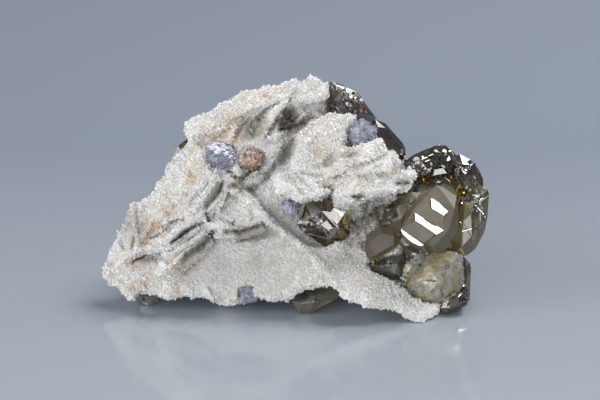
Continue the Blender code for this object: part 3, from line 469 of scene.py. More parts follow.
# Thin blades seen on their edges: the edge's points, depth into the stone, lean, stand and thickness
RIBS = (
    (((-28.4, -7.8), (-23.6, -3.6)), 4.0, -18, 0.7, 0.50),
    (((-27.0, -8.9), (-24.2, -6.2), (-21.4, -4.2)), 4.0, -14, 0.9, 0.55),
    (((-31.2, -9.0), (-28.8, -9.8), (-26.6, -9.5), (-22.4, -6.8), (-19.6, -5.0)), 4.5, -22, 1.1, 0.60),
    (((-28.6, -11.2), (-25.4, -10.4), (-22.2, -8.2), (-18.8, -6.2)), 4.5, -40, 1.5, 0.60),
    (((-27.6, -12.6), (-26.4, -13.6), (-24.6, -11.8), (-22.6, -10.2), (-19.2, -7.6)), 5.0, -30, 1.9, 0.60),
    (((-14.1, 11.2), (-13.4, 13.2), (-12.7, 15.2)), 3.4, 20, 1.2, 0.55),
    (((-8.1, 11.1), (-6.4, 14.4), (-4.6, 17.2), (-3.0, 18.9), (-2.0, 20.7)), 4.2, 26, 1.4, 0.60),
    (((-1.8, 15.6), (-0.6, 17.0), (0.9, 19.4)), 3.6, 30, 1.3, 0.75),
    (((-8.2, 10.4), (-6.6, 12.4), (-3.2, 13.6)), 3.8, -36, 1.3, 0.80),
    (((-6.4, 5.6), (-5.0, 8.8), (-3.6, 12.0)), 3.0, 20, 1.0, 0.60),
    (((-11.0, 3.6), (-8.0, 5.4), (-6.2, 7.6)), 3.4, -24, 1.1, 0.60),
    (((-12.5, 7.2), (-11.4, 8.8), (-10.7, 10.4)), 3.0, 10, 1.2, 0.50),
    (((-12.8, 0.4), (-10.8, -1.4), (-10.2, -4.0)), 3.0, 30, 0.9, 0.50),
    (((-15.6, -1.4), (-14.0, -0.2), (-12.6, -1.0)), 2.6, 40, 0.6, 0.45),
    (((-19.6, -4.4), (-15.4, -5.8), (-11.0, -5.6), (-7.8, -4.2)), 4.0, -30, 1.2, 0.60),
    (((-17.8, -5.4), (-15.4, -6.9), (-13.0, -8.4)), 4.2, 30, 1.9, 0.60),
    (((-17.0, 6.4), (-18.6, 2.2), (-20.8, -1.2), (-22.2, -3.6)), 3.4, 34, 0.9, 0.70),
    (((-20.0, 4.2), (-22.0, 0.6), (-24.6, -3.2)), 3.0, 34, 0.6, 0.55),
    (((-23.4, 1.6), (-26.4, -2.4), (-28.8, -5.2)), 3.0, 34, 0.5, 0.50),
    (((-33.8, -0.8), (-33.3, -5.0), (-32.4, -9.2)), 3.0, 30, 0.6, 0.50),
    (((-33.4, -12.5), (-31.4, -11.9), (-29.6, -11.0)), 3.4, -30, 0.9, 0.50),
    (((-15.4, 15.6), (-10.4, 18.2), (-5.2, 20.0)), 3.6, -24, 0.8, 0.55),
    (((-18.4, 13.4), (-14.6, 14.6), (-11.8, 16.4)), 3.2, -30, 0.7, 0.50),
    (((-9.6, 16.6), (-6.6, 18.8), (-3.8, 20.4)), 3.0, 24, 0.7, 0.50),
    (((6.8, 2.2), (10.6, 4.4), (14.2, 5.8), (18.4, 5.7)), 4.4, 36, 0.9, 0.65),
    (((8.6, 6.8), (13.0, 7.8), (17.4, 9.6)), 4.0, 40, 0.8, 0.60),
    (((12.0, 11.2), (15.2, 12.6), (17.6, 12.0)), 3.6, 30, 0.7, 0.60),
    (((3.4, 3.8), (8.0, 5.2), (11.6, 8.2)), 3.4, 36, 0.6, 0.55),
    (((22.8, -14.0), (23.6, -15.8), (22.6, -17.0)), 2.4, 10, 0.4, 0.45),
    (((21.8, -14.0), (23.0, -14.6), (23.9, -15.6)), 1.2, -8, 0.0, 0.35))
RIB_STEP = 0.42           # length between the points of a blade's ragged edge
RIB_NICK = 0.26           # how far the edge's points stray
RIB_LEVELS = (0.0, 0.10, 0.22, 0.36, 0.55, 0.78, 1.0)   # shares of a blade's depth that carry points


def within(across, up, area):
    left, right, low, high = area
    return left < across < right and low < up < high


def facing(turn, lift):
    """The way a blade faces, turned from the front and lifted, in degrees."""
    t, f = math.radians(turn), math.radians(lift)
    return Vector((math.sin(t) * math.cos(f), -math.cos(t) * math.cos(f), math.sin(f)))


def eye_hit(tree, across, up):
    """The point of the stone that the eye sees at (across, up), or None."""
    eye = (SIGHT_POINT - AWAY * EYE_DISTANCE) * MM
    ray = (placed(across, up, 0.0) * MM - eye).normalized()
    return tree.ray_cast(eye, ray)[0]


def along(points, step):
    """Points every step millimetres along an open line, with the direction at each."""
    made = []
    for start, end in zip(points, points[1:]):
        start, end = Vector(start), Vector(end)
        count = max(1, round((end - start).length / step))
        made += [(start.lerp(end, number / count), (end - start).normalized()) for number in range(count)]
    made.append((Vector(points[-1]), (Vector(points[-1]) - Vector(points[-2])).normalized()))
    return made


def rib(body, tree, rule, chance):
    """One thin blade with a ragged edge, which the eye sees edge on and which runs back into the stone."""
    edge, depth, lean, stand, thickness = rule
    spots = along(edge, RIB_STEP)
    backs = []
    for spot, _ in spots:
        hit = eye_hit(tree, spot.x, spot.y)
        backs.append(None if hit is None else (hit / MM - SIGHT_POINT).dot(AWAY))
    seen = [(number, back) for number, back in enumerate(backs) if back is not None]
    if len(seen) < 2:
        return
    middle_number = sum(number for number, _ in seen) / len(seen)
    middle_back = sorted(back for _, back in seen)[len(seen) // 2]
    spread = sum((number - middle_number) ** 2 for number, _ in seen)
    slope = sum((number - middle_number) * (back - middle_back) for number, back in seen) / spread
    slope = max(-0.5, min(0.5, slope))
    rings = []
    lean = math.radians(lean)
    for number, (spot, heading) in enumerate(spots):
        ends = min(number, len(spots) - 1 - number) / max(1.0, len(spots) / 2)
        rounded = stand * (1.0 - (1.0 - ends) ** 4 * 0.9)
        back = middle_back + slope * (number - middle_number) - rounded
        side = ACROSS * -heading.y + UPWARD * heading.x
        inward = AWAY * math.cos(lean) + side * math.sin(lean)
        flat = side * math.cos(lean) - AWAY * math.sin(lean)
        nick = chance.uniform(-RIB_NICK, RIB_NICK)
        front = placed(spot.x, spot.y, back) - inward * nick + side * chance.uniform(-0.08, 0.08)
        thin, thick = thickness * chance.uniform(0.26, 0.42), thickness * 0.5 * chance.uniform(0.9, 1.2)
        halves = [thin] + [thick * chance.uniform(0.85, 1.15) for _ in RIB_LEVELS[1:]]
        left = [front + inward * depth * level + flat * half for level, half in zip(RIB_LEVELS, halves)]
        right = [front + inward * depth * level - flat * half for level, half in zip(RIB_LEVELS, halves)]
        rings.append([body.verts.new(point * MM) for point in left + right[::-1]])
    for first, second in zip(rings, rings[1:]):
        for number in range(len(first)):
            after = (number + 1) % len(first)
            body.faces.new((first[number], first[after], second[after], second[number]))
    body.faces.new(list(reversed(rings[0])))
    body.faces.new(rings[-1])


def surface_of(pieces):
    """A search tree of these pieces, for finding where a ray meets them."""
    body = bmesh.new()
    for piece in pieces:
        body.from_mesh(piece.data)
    tree = BVHTree.FromBMesh(body)
    body.free()
    return tree


def ribs(stone, name):
    """All the thin blades that the front shows on edge."""
    chance = random.Random(21)
    tree = surface_of([stone])
    body = bmesh.new()
    for rule in RIBS:
        rib(body, tree, rule, chance)
    return object_of(body, name)


def smooth_there(place):
    """Whether this place of the stone carries no small blades."""
    across, up, back = seen_spot(place)
    blade_across, blade_up, slope = LONG_BLADE
    from_ridge = abs(up - blade_up - (across - blade_across) * slope)
    on_long_blade = from_ridge < 2.0 and across > -20 and back < 4
    on_floor = place.z < 3 * MM
    return on_long_blade or on_floor or any(within(across, up, area) and back < deepest
                                            for *area, deepest in SMOOTH_AREAS)


def small_blades(stone, name):
    """Small thin blades of the same families, half sunk in the stone's faces."""
    chance = random.Random(5)
    mesh = stone.data
    mesh.calc_loop_triangles()
    triangles = [t for t in mesh.loop_triangles if t.area > SMALLEST_CARRIER * MM * MM]
    points = coordinates(mesh)
    body = bmesh.new()
    for triangle in chance.choices(triangles, [t.area for t in triangles], k=BLADE_COUNT):
        a, b, c = (Vector(points[v]) for v in triangle.vertices)
        r, s = sorted((chance.random(), chance.random()))
        spot = a * r + b * (s - r) + c * (1 - s)
        outward = triangle.normal
        if smooth_there(spot):
            continue
        turn, lift = chance.choice(BLADE_SETS)
        normal = facing(turn + chance.uniform(-12, 12), lift + chance.uniform(-10, 10))
        if abs(normal.dot(outward)) > 0.93:
            continue
        size = chance.uniform(*BLADE_SIZE) * MM
        level = normal.cross(outward).normalized()
        rise = level.cross(normal)
        rise = rise if rise.dot(outward) > 0 else -rise
        middle = spot - rise * size * 0.5
        corners = []
        for number in range(BLADE_CORNERS):
            angle = math.tau * (number + chance.uniform(-0.3, 0.3)) / BLADE_CORNERS
            reach = size * chance.uniform(0.7, 1.2)
            corners.append(middle + level * math.cos(angle) * reach * 1.25 + rise * math.sin(angle) * reach)
        half = normal * chance.uniform(*BLADE_HALF_THICKNESS) * MM
        prism(body, [corner + half for corner in corners], [corner - half for corner in corners])
    return object_of(body, name)


def hollow_weights(points):
    """How far each point of the show side sinks back where a hollow lies between the blades."""
    across, up, back = seen_at(points)
    total = np.zeros(len(points))
    for zone_across, zone_up, length, width, slope, depth in HOLLOWS:
        c, s = math.cos(math.radians(slope)), math.sin(math.radians(slope))
        x, y = across - zone_across, up - zone_up
        far = ((x * c + y * s) / length) ** 2 + ((y * c - x * s) / width) ** 2
        total = np.maximum(total, depth * np.clip(1.25 - far, 0.0, 1.0))
    return total * np.clip(1.5 - back / BEHIND, 0.0, 1.0)


def crevice_weights(points):
    """How deep the narrow gaps are at each point of the show side, and how dark their painted shade is."""
    across, up, back = seen_at(points)
    depth, tone = np.zeros(len(points)), np.zeros(len(points))
    for line, width, sink, darkness in CREVICES:
        nearest = np.full(len(points), 1e6)
        for (x0, y0), (x1, y1) in zip(line, line[1:]):
            run, rise = x1 - x0, y1 - y0
            share = np.clip(((across - x0) * run + (up - y0) * rise) / (run * run + rise * rise), 0.0, 1.0)
            nearest = np.minimum(nearest, np.hypot(across - x0 - share * run, up - y0 - share * rise))
        closeness = np.clip(1.45 - nearest / width * 0.95, 0.0, 1.0)
        depth = np.maximum(depth, sink * closeness)
        tone = np.maximum(tone, darkness * closeness)
    shown = np.clip(1.5 - back / BEHIND, 0.0, 1.0)
    return depth * shown, tone * shown


def skinned(stone, voxel):
    """The piece in one closed skin of even faces."""
    skin = stone.modifiers.new("skin", "REMESH")
    skin.mode = "VOXEL"
    skin.voxel_size = voxel * MM
    return baked(stone, stone.name)


def thinned(stone, triangles):
    """The piece with about this many triangles, if it has more."""
    share = triangles / sum(len(face.vertices) - 2 for face in stone.data.polygons)
    if share >= 1.0:
        return stone
    fewer = stone.modifiers.new("fewer", "DECIMATE")
    fewer.ratio = share
    return baked(stone, stone.name)


def stone_relief(points):
    """How far the stone stands out at each point: lumps and crumbs, calmer on the smooth skirt."""
    lumps = noise_at(points, 2.6, 1) * 0.20 + noise_at(points, 1.1, 2) * 0.12
    lumps += (crumbs_at(points, 1.3) - CRUMB_LEVEL) * 0.50 + (crumbs_at(points, 0.7) - CRUMB_LEVEL) * 0.28
    across, up, _ = seen_at(points)
    skirt_across, skirt_up, reach_across, reach_up = SKIRT
    skirt = 1 - ((across - skirt_across) / reach_across) ** 2 - ((up - skirt_up) / reach_up) ** 2
    return lumps * np.clip(1.0 - np.maximum(0, skirt) * 2.0, 0.30, 1.0)


def stone_tints(mesh):
    """Where the stone is stained, where it is grey (grey quartz, and painted shade in its hollows), and where
    painted shade darkens its gaps and pockets, for the finish to read.
    """
    points = coordinates(mesh) / MM
    grain = noise_at(points, 0.8, 7)
    patch = noise_at(points, 3.0, 8)
    store(mesh, "stain", np.clip(zone_weights(points, STAINS) * (0.75 + 0.9 * grain + 0.4 * patch)
                                 + np.clip(patch - 0.35, 0, 1) * 0.25, 0.0, 1.0))
    # Grey quartz and painted shade: the hollows are greyed with painted shade
    store(mesh, "grey", np.clip(zone_weights(points, GREY_AND_SHADED_ZONES) * (0.9 + 0.5 * grain)
                                + np.clip(hollow_weights(points) * 0.35, 0.0, 0.5), 0.0, 1.0))
    # Painted shade of the gaps and of the dark pockets
    store(mesh, "deep", np.clip(crevice_weights(points)[1] * (0.85 + 0.5 * grain)
                                + zone_weights(points, DARKS) * (0.8 + 0.9 * grain), 0.0, 1.0))


def quartz_stone(finish):
    """The quartz in one skin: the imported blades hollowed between, the thin ones, and a lumpy surface."""
    shell = skinned(node_copy("quartz_matrix", "quartz_stone"), STONE_VOXEL * 1.5)
    points = coordinates(shell.data) / MM
    move_points(shell.data, points + np.array(AWAY) * hollow_weights(points)[:, None])
    thin = ribs(shell, "thin_blades")
    shell = skinned(joined(shell, small_blades(shell, "small_blades")), STONE_VOXEL)
    shell = thinned(shell, STONE_TRIANGLES)
    points = coordinates(shell.data) / MM
    above_floor = np.clip(points[:, 2] / 1.2, 0.0, 1.0)
    out = stone_relief(points) * above_floor - STONE_SINK
    moved = points + normals_of(shell.data) * out[:, None]
    moved += np.array(AWAY) * (crevice_weights(points)[0] * above_floor)[:, None]
    moved[:, 2] = np.maximum(moved[:, 2], 0.0)
    move_points(shell.data, moved)
    shell = joined(shell, thin)
    stone_tints(shell.data)
    dress(shell, finish)
    return shell


# Druse: quartz points scattered by a node tree

ZONES = ((-50, -21), (-21, -8), (-8, 6), (6, 50))    # each piece's stretch along X
DRUSE_DENSITY = 6.8e6     # points for each square metre
POINT_RADIUS = 0.33
POINT_HEIGHT = 0.42
POINT_LEAN = 0.6          # most that a point leans, radians
POINT_SIDES = 5           # one fewer than in nature, to save faces
LEAST_POINT, LARGEST_POINT = (0.5, 0.5, 0.4), (1.4, 1.4, 1.6)     # shares of the usual width and height
FIRST_SEED = 11
# Where the points are finer or larger than elsewhere: across, up, radius, share of the usual size
SWELLS = (
    (-8.0, -13.0, 9.0, 0.62), (-22.0, -15.0, 6.0, 0.75), (-9.0, 14.0, 3.6, 0.55), (-33.0, -6.0, 4.0, 0.7),
    (5.0, 10.0, 7.0, 1.15), (-14.0, 18.0, 5.0, 1.1), (15.0, -15.0, 8.0, 0.85), (16.0, 4.0, 6.0, 1.1))


def druse_tree(name):
    """A node tree that covers a mesh with small quartz points."""
    tree = bpy.data.node_groups.new(name, "GeometryNodeTree")
    face = tree.interface
    face.new_socket("Geometry", in_out="INPUT", socket_type="NodeSocketGeometry")
    for label in ("Density", "Point Radius", "Point Height", "Lean", "From X", "To X"):
        face.new_socket(label, in_out="INPUT", socket_type="NodeSocketFloat")
    face.new_socket("Seed", in_out="INPUT", socket_type="NodeSocketInt")
    face.new_socket("Finish", in_out="INPUT", socket_type="NodeSocketMaterial")
    face.new_socket("Geometry", in_out="OUTPUT", socket_type="NodeSocketGeometry")

    def node(kind, values=None, **settings):
        return add_node(tree, kind, values, settings)

    def stored(label):
        made = node("GeometryNodeInputNamedAttribute", {"Name": label}, data_type="FLOAT")
        return made.outputs["Attribute"]

    given = node("NodeGroupInput").outputs
    split = node("ShaderNodeSeparateXYZ", {0: node("GeometryNodeInputPosition").outputs[0]})
    after = node("FunctionNodeCompare", data_type="FLOAT", operation="GREATER_EQUAL")
    feed(tree, after.inputs[0], split.outputs["X"])
    feed(tree, after.inputs[1], given["From X"])
    before = node("FunctionNodeCompare", data_type="FLOAT", operation="LESS_THAN")
    feed(tree, before.inputs[0], split.outputs["X"])
    feed(tree, before.inputs[1], given["To X"])
    inside = node("FunctionNodeBooleanMath", {0: after.outputs[0], 1: before.outputs[0]}, operation="AND")

    amount = node("ShaderNodeMath", {0: given["Density"], 1: stored("cover")}, operation="MULTIPLY")
    scatter = node("GeometryNodeDistributePointsOnFaces", {
        "Mesh": given["Geometry"], "Selection": inside.outputs[0], "Density": amount.outputs[0],
        "Seed": given["Seed"]}, distribute_method="RANDOM")
    point = node("GeometryNodeMeshCone", {
        "Vertices": POINT_SIDES, "Radius Top": 0.0, "Radius Bottom": given["Point Radius"],
        "Depth": given["Point Height"]}, fill_type="NONE")

    minus = node("ShaderNodeMath", {0: given["Lean"], 1: -1.0}, operation="MULTIPLY").outputs[0]
    least_turn = node("ShaderNodeCombineXYZ", {"X": minus, "Y": minus})
    most_turn = node("ShaderNodeCombineXYZ", {"X": given["Lean"], "Y": given["Lean"], "Z": math.tau})
    lean = node("FunctionNodeRandomValue", {
        0: least_turn.outputs[0], 1: most_turn.outputs[0], "Seed": given["Seed"]}, data_type="FLOAT_VECTOR")
    as_turn = node("FunctionNodeEulerToRotation", {0: lean.outputs[0]})
    turn = node("FunctionNodeRotateRotation", {0: scatter.outputs["Rotation"], 1: as_turn.outputs[0]},
                rotation_space="LOCAL")
    size = node("FunctionNodeRandomValue", {0: LEAST_POINT, 1: LARGEST_POINT, "Seed": given["Seed"]},
                data_type="FLOAT_VECTOR")
    full_size = node("ShaderNodeVectorMath", operation="SCALE")
    feed(tree, full_size.inputs[0], size.outputs[0])
    feed(tree, full_size.inputs["Scale"], stored("swell"))

    plant = node("GeometryNodeInstanceOnPoints", {
        "Points": scatter.outputs["Points"], "Instance": point.outputs["Mesh"],
        "Rotation": turn.outputs[0], "Scale": full_size.outputs[0]})
    real = node("GeometryNodeRealizeInstances", {0: plant.outputs[0]})
    finish = node("GeometryNodeSetMaterial", {"Geometry": real.outputs[0], "Material": given["Finish"]})
    node("NodeGroupOutput", {0: finish.outputs[0]})
    return tree


def with_inputs(target, tree, values):
    """Puts the node tree on the object with these named inputs."""
    modifier = target.modifiers.new(tree.name, "NODES")
    modifier.node_group = tree
    for item in tree.interface.items_tree:
        if item.item_type == "SOCKET" and item.in_out == "INPUT" and item.name in values:
            modifier[item.identifier] = values[item.name]


def druse(stone, finish, tree):
    """The coat of quartz points, in one piece for each stretch of the stone."""
    mesh = stone.data
    points = coordinates(mesh) / MM
    outward = normals_of(mesh)
    across, up, back = seen_at(points)
    under = np.clip(1.0 + outward[:, 2] * 1.6, 0.35, 1.0)
    hidden = np.where(outward @ np.array(AWAY) > 0.3, 0.6, 1.0)
    low = np.clip(points[:, 2] / 0.6 - 0.5, 0.0, 1.0)
    sheltered = np.clip(1.0 - hollow_weights(points) * 0.3, 0.45, 1.0)
    swell = (0.95 + 0.22 * noise_at(points, 1.6, 31)) * sheltered
    for zone_across, zone_up, radius, share in SWELLS:
        far = ((across - zone_across) ** 2 + (up - zone_up) ** 2) / radius ** 2
        swell *= 1.0 + (share - 1.0) * np.exp(-far * 1.2) * (back < 9.0)
    store(mesh, "swell", swell)
    open_to_light = 1.0 - crevice_weights(points)[1] * 0.7
    store(mesh, "cover", under * hidden * low * open_to_light / np.clip(swell, 0.5, 1.5) ** 1.6)
    made = []
    for number, (start, end) in enumerate(ZONES):
        name = f"quartz_druse_{number + 1}"
        coat = new_object(name, mesh.copy())
        with_inputs(coat, tree, {
            "Density": DRUSE_DENSITY, "Point Radius": POINT_RADIUS * MM, "Point Height": POINT_HEIGHT * MM,
            "Lean": POINT_LEAN, "From X": start * MM, "To X": end * MM, "Seed": FIRST_SEED + number,
            "Finish": finish})
        made.append(baked(coat, name))
    return made


# Sphalerite

CRYSTAL_NODES = ("sphalerite_right_cluster", "sphalerite_middle", "sphalerite_rear_top",
                 "sphalerite_underside", "sphalerite_lower_left", "sphalerite_left_rear",
                 "sphalerite_far_side")
PALE_NODES = ("sphalerite_underside", "sphalerite_lower_left")
DARK_NODES = ("sphalerite_rear_top", "sphalerite_left_rear", "sphalerite_far_side")
WORN_EDGE = 0.06          # width of the worn edges
FLAT_ANGLE = math.radians(2.0)          # faces that meet at less than this are one face
WORN_ANGLE = math.radians(16.0)         # edges sharper than this are worn

TERRACE_AREA = 4.0        # faces larger than this carry raised growth plates, square millimetres
PLATE_MARGIN = (0.05, 0.13)             # share of the face's width
PLATE_RISE = (0.04, 0.10)

BRIGHT_AXIS = Vector((0.372, -0.487, 0.790))      # the way the bright steps face
FRONT_AXIS = Vector((-0.173, -0.950, 0.260))      # the way the pale front facets face
BRIGHT_PROUD = (0.28, 0.40, 0.38)       # how far each bright step stands proud at most
BRIGHT_RUN, PALE_RUN, GLINT_RUN = 2.0, 1.6, 0.8     # how far each kind of facet runs back
PALE_PROUD, GLINT_PROUD = 0.5, 0.25
GLINT_SHARE = 0.75        # a glint's size against the sizes listed
GLINT_SHAPE = ((-1.0, -0.5), (-0.3, -1.0), (0.9, -0.7), (1.0, 0.3), (0.2, 1.0), (-0.8, 0.8))

# Stretches of the crystals as seen: from and to across, from and to up
STEPPED_AREA = (19.6, 32.0, -11.0, 3.2)           # the bright stepped crystal
MATT_AREA = (12.6, 20.4, -12.2, -4.8)             # the grey etched crystal beside it
GLOSSY_AREA = (19.0, NO_LIMIT, 3.2, NO_LIMIT)     # the dark crystals at the top
ETCH_LEVELS = (0.0, 0.05, 0.25, 0.7, 0.8, 0.9, 1.0)
STEPPED_ETCH = 1.3
MATT_ETCH = 1.7
GLOSSY_SHARE = 0.12

# Places of painted shade besides the top: across, up, spread across, spread up, strength
SHADED_PLACES = ((22.6, -12.4, 6.0, 3.0, 0.8), (2.4, -6.0, 5.0, 8.0, 0.9), (33.6, -3.2, 2.4, 3.0, 0.8))

# Flat facets, each an outline as seen
BRIGHT_FACETS = (
    ((26.2, 0.46), (30.2, -1.9), (28.7, -3.06), (26.34, -1.64)),
    ((23.0, -2.6), (28.76, -6.04), (27.3, -6.88), (23.08, -4.08)),
    ((20.2, -5.84), (24.86, -8.9), (24.2, -9.2), (22.56, -8.6), (20.56, -6.9)))
PALE_FACETS = (
    ((4.34, -2.2), (6.08, -2.4), (6.8, -1.6), (9.12, -2.34), (7.2, -5.3), (7.84, -5.8)),
    ((4.2, -5.0), (5.3, -4.0), (6.56, -5.6), (5.76, -6.08)),
    ((25.0, 4.6), (29.4, 5.4), (28.6, 6.4), (26.6, 6.0)))
# Small facets that catch the light: across, up, half length, half width, slope in degrees
GLINTS = (
    (32.3, -4.4, 0.35, 0.30, 20), (32.6, 7.8, 0.55, 0.22, -40), (33.2, 6.0, 0.45, 0.18, -30),
    (25.0, 8.4, 1.0, 0.12, 22), (25.6, 7.9, 0.9, 0.10, 22), (26.2, 9.0, 0.8, 0.10, 22),
    (32.4, -0.6, 0.35, 0.20, 40), (33.8, -5.9, 2.2, 0.10, 14), (35.6, -1.6, 1.2, 0.08, -48),
    (36.2, -2.2, 1.2, 0.08, -48), (19.4, -10.8, 0.55, 0.50, 0), (15.5, -12.2, 0.5, 0.36, 20),
    (22.2, -12.9, 0.3, 0.2, -30), (24.7, -17.5, 0.7, 0.10, -50), (25.9, -18.6, 0.6, 0.10, -50),
    (32.8, -17.0, 0.6, 0.14, 60), (32.0, -19.0, 0.7, 0.12, 50), (33.2, -14.2, 0.4, 0.14, 70),
    (1.8, -4.8, 0.40, 0.30, 40), (3.8, -3.6, 0.30, 0.22, 0), (5.7, -6.6, 0.5, 0.14, -20),
    (7.4, -7.8, 1.4, 0.22, 4), (2.6, -6.2, 0.3, 0.16, 0), (15.3, -2.4, 0.3, 0.8, 24),
    (10.2, 20.6, 0.35, 0.2, -20), (1.2, -18.7, 0.95, 0.12, -50), (3.4, -19.6, 0.5, 0.16, 0))
# Places with many small crystals: across, up, reach across, reach up, count, smallest and largest size
CRYSTAL_PATCHES = (
    (34.2, 0.6, 2.4, 1.2, 12, 0.5, 1.3), (35.6, -2.0, 1.6, 1.8, 7, 0.6, 1.4),
    (22.6, -12.2, 2.6, 1.4, 16, 0.5, 1.3), (29.6, -20.4, 2.4, 1.4, 8, 0.5, 1.2),
    (32.6, -18.4, 1.2, 2.0, 8, 0.5, 1.2), (33.4, 6.4, 2.2, 1.6, 10, 0.5, 1.3),
    (26.0, 8.4, 3.2, 1.2, 9, 0.6, 1.4), (21.6, 5.0, 1.4, 1.6, 8, 0.5, 1.2),
    (22.6, 0.2, 2.6, 1.6, 12, 0.5, 1.4), (18.0, -3.0, 2.2, 2.0, 12, 0.6, 1.5),
    (30.8, -11.0, 2.6, 0.6, 9, 0.4, 1.0), (14.4, -12.6, 2.4, 1.2, 10, 0.5, 1.2),
    (17.6, -12.0, 2.0, 1.2, 8, 0.5, 1.2), (8.4, 19.6, 1.6, 1.6, 10, 0.5, 1.1),
    (11.0, 17.4, 1.8, 1.8, 8, 0.5, 1.2), (2.2, -19.4, 1.6, 0.8, 5, 0.4, 0.9),
    (-29.8, -18.0, 2.4, 1.0, 12, 0.5, 1.3))

CRYSTAL_CORNERS = 11      # points that a small crystal's hull is drawn round
# Places where the crystals are a jumble of small faces: across, up, reach across and reach up
BROKEN = ((28.5, 7.2, 9.5, 4.6), (34.2, 1.4, 2.8, 1.9), (8.6, 19.6, 4.6, 4.6), (2.2, -5.6, 2.4, 3.4),
          (22.6, -12.4, 2.6, 2.0))
BROKEN_EDGES = (3.2, 1.9, 1.3)          # longest edge left after each round of splitting
BROKEN_SHIFT = (-0.30, 0.04)


def stepped(place):
    """Whether a place belongs to the bright stepped crystal, which keeps its faces as they are."""
    across, up, back = seen_spot(place)
    return within(across, up, STEPPED_AREA) and back < 1.0


def shaded(mesh):
    """How much painted shade darkens each point: the crystals at the top of the cluster are the darkest."""
    across, up, _ = seen_at(coordinates(mesh) / MM)
    brown = 0.95 * np.clip((up - 2.6) / 2.0, 0.0, 1.0) * (across > 19.0) * (across < 38.0)
    for place_across, place_up, spread_across, spread_up, strength in SHADED_PLACES:
        far = (across - place_across) ** 2 / spread_across + (up - place_up) ** 2 / spread_up
        brown += np.exp(-far) * strength
    return np.clip(brown, 0.0, 1.0)


def terraces(body):
    """Growth plates on the larger faces, one or two on each, raised or sunk."""
    chance = random.Random(9)
    whole = sorted(body.faces, key=lambda face: -face.calc_area())
    large = [face for face in whole if face.calc_area() > TERRACE_AREA * MM * MM]
    for face in large:
        if stepped(face.calc_center_median()) or chance.random() < 0.25:
            continue
        for _ in range(chance.choice((1, 1, 2))):
            width = math.sqrt(face.calc_area()) * chance.uniform(*PLATE_MARGIN)
            rise = chance.choice((1, 1, -1)) * chance.uniform(*PLATE_RISE) * MM
            bmesh.ops.inset_individual(body, faces=[face], thickness=width, depth=rise)


def is_broken(face):
    """Whether the face lies where the crystals are a jumble of small faces."""
    place = face.calc_center_median()
    across, up, back = seen_spot(place)
    return back < 12.0 and not stepped(place) and any(
        ((across - x) / reach_across) ** 2 + ((up - y) / reach_up) ** 2 < 1.0
        for x, y, reach_across, reach_up in BROKEN)


def broken(body):
    """Splits the faces of the jumbled places and turns the small ones every way."""
    chance = random.Random(12)
    bmesh.ops.triangulate(body, faces=[face for face in body.faces if len(face.verts) > 4])
    for longest in BROKEN_EDGES:
        edges = {edge for face in body.faces if is_broken(face) for edge in face.edges}
        long = [edge for edge in edges if edge.calc_length() > longest * MM]
        bmesh.ops.subdivide_edges(body, edges=sorted(long, key=lambda edge: edge.index), cuts=1)
        bmesh.ops.triangulate(body, faces=[face for face in body.faces if is_broken(face)])
        body.edges.index_update()
    body.normal_update()
    places = sorted({vert.index: vert for face in body.faces if is_broken(face)
                     for vert in face.verts}.items())
    for _, vert in places:
        vert.co += vert.normal * chance.uniform(*BROKEN_SHIFT) * MM


def etching(mesh):
    """How matt each face is, by chance, apart from three stretches: stepped, grey and glossy."""
    chance = random.Random(4)
    levels = []
    for face in mesh.polygons:
        matt = chance.choice(ETCH_LEVELS)
        across, up, _ = seen_spot(face.center)
        if within(across, up, GLOSSY_AREA):
            matt *= GLOSSY_SHARE
        if stepped(face.center):
            matt = STEPPED_ETCH
        if within(across, up, MATT_AREA):
            matt = MATT_ETCH
        levels.append(matt)
    return levels


def sphalerite_crystal(node, finish):
    """A packed crystal with whole flat faces, growth plates on them and worn edges."""
    piece = node_copy(node, "cut_" + node)
    body = bmesh.new()
    body.from_mesh(piece.data)
    bmesh.ops.dissolve_limit(body, angle_limit=FLAT_ANGLE, verts=body.verts, edges=body.edges)
    terraces(body)
    broken(body)
    body.to_mesh(piece.data)
    body.free()
    edge = piece.modifiers.new("worn edges", "BEVEL")
    edge.width = WORN_EDGE * MM
    edge.segments = 1
    edge.limit_method = "ANGLE"
    edge.angle_limit = WORN_ANGLE
    piece = baked(piece, "cut_" + node)
    store(piece.data, "etch", etching(piece.data), "FACE")
    store(piece.data, "shade", shaded(piece.data))
    dress(piece, finish)
    return piece


def facet(body, tree, outline, axis, run, proud):
    """A flat facet with this outline as seen, facing along the axis, on a short prism that runs back.
    It stands in front of what it grows from, by the distance proud at most over the usual level."""
    middle = [sum(corner[axis_number] for corner in outline) / len(outline) for axis_number in (0, 1)]
    spots = [(middle[0] + (across - middle[0]) * share, middle[1] + (up - middle[1]) * share)
             for across, up in outline for share in (1.0, 0.6, 0.2)]
    hits = [eye_hit(tree, across, up) for across, up in spots]
    heights = sorted(hit.dot(axis) for hit in hits if hit is not None)
    if len(heights) < len(spots) * 0.6:
        return
    eye = (SIGHT_POINT - AWAY * EYE_DISTANCE) * MM
    level = min(heights[-1], heights[len(heights) // 2] + proud * MM) + 0.03 * MM
    front = []
    for across, up in outline:
        ray = (placed(across, up, 0.0) * MM - eye).normalized()
        front.append(eye + ray * ((level - eye.dot(axis)) / ray.dot(axis)))
    rear = [point + (AWAY - axis * 0.25).normalized() * run * MM for point in front]
    prism(body, front, rear)


def grown(body, name, finish, etch):
    """A piece of sphalerite from a finished bmesh, with the attributes that its finish reads."""
    piece = object_of(body, name)
    store(piece.data, "etch", etch(piece.data), "FACE")
    store(piece.data, "shade", shaded(piece.data))
    dress(piece, finish)
    return piece


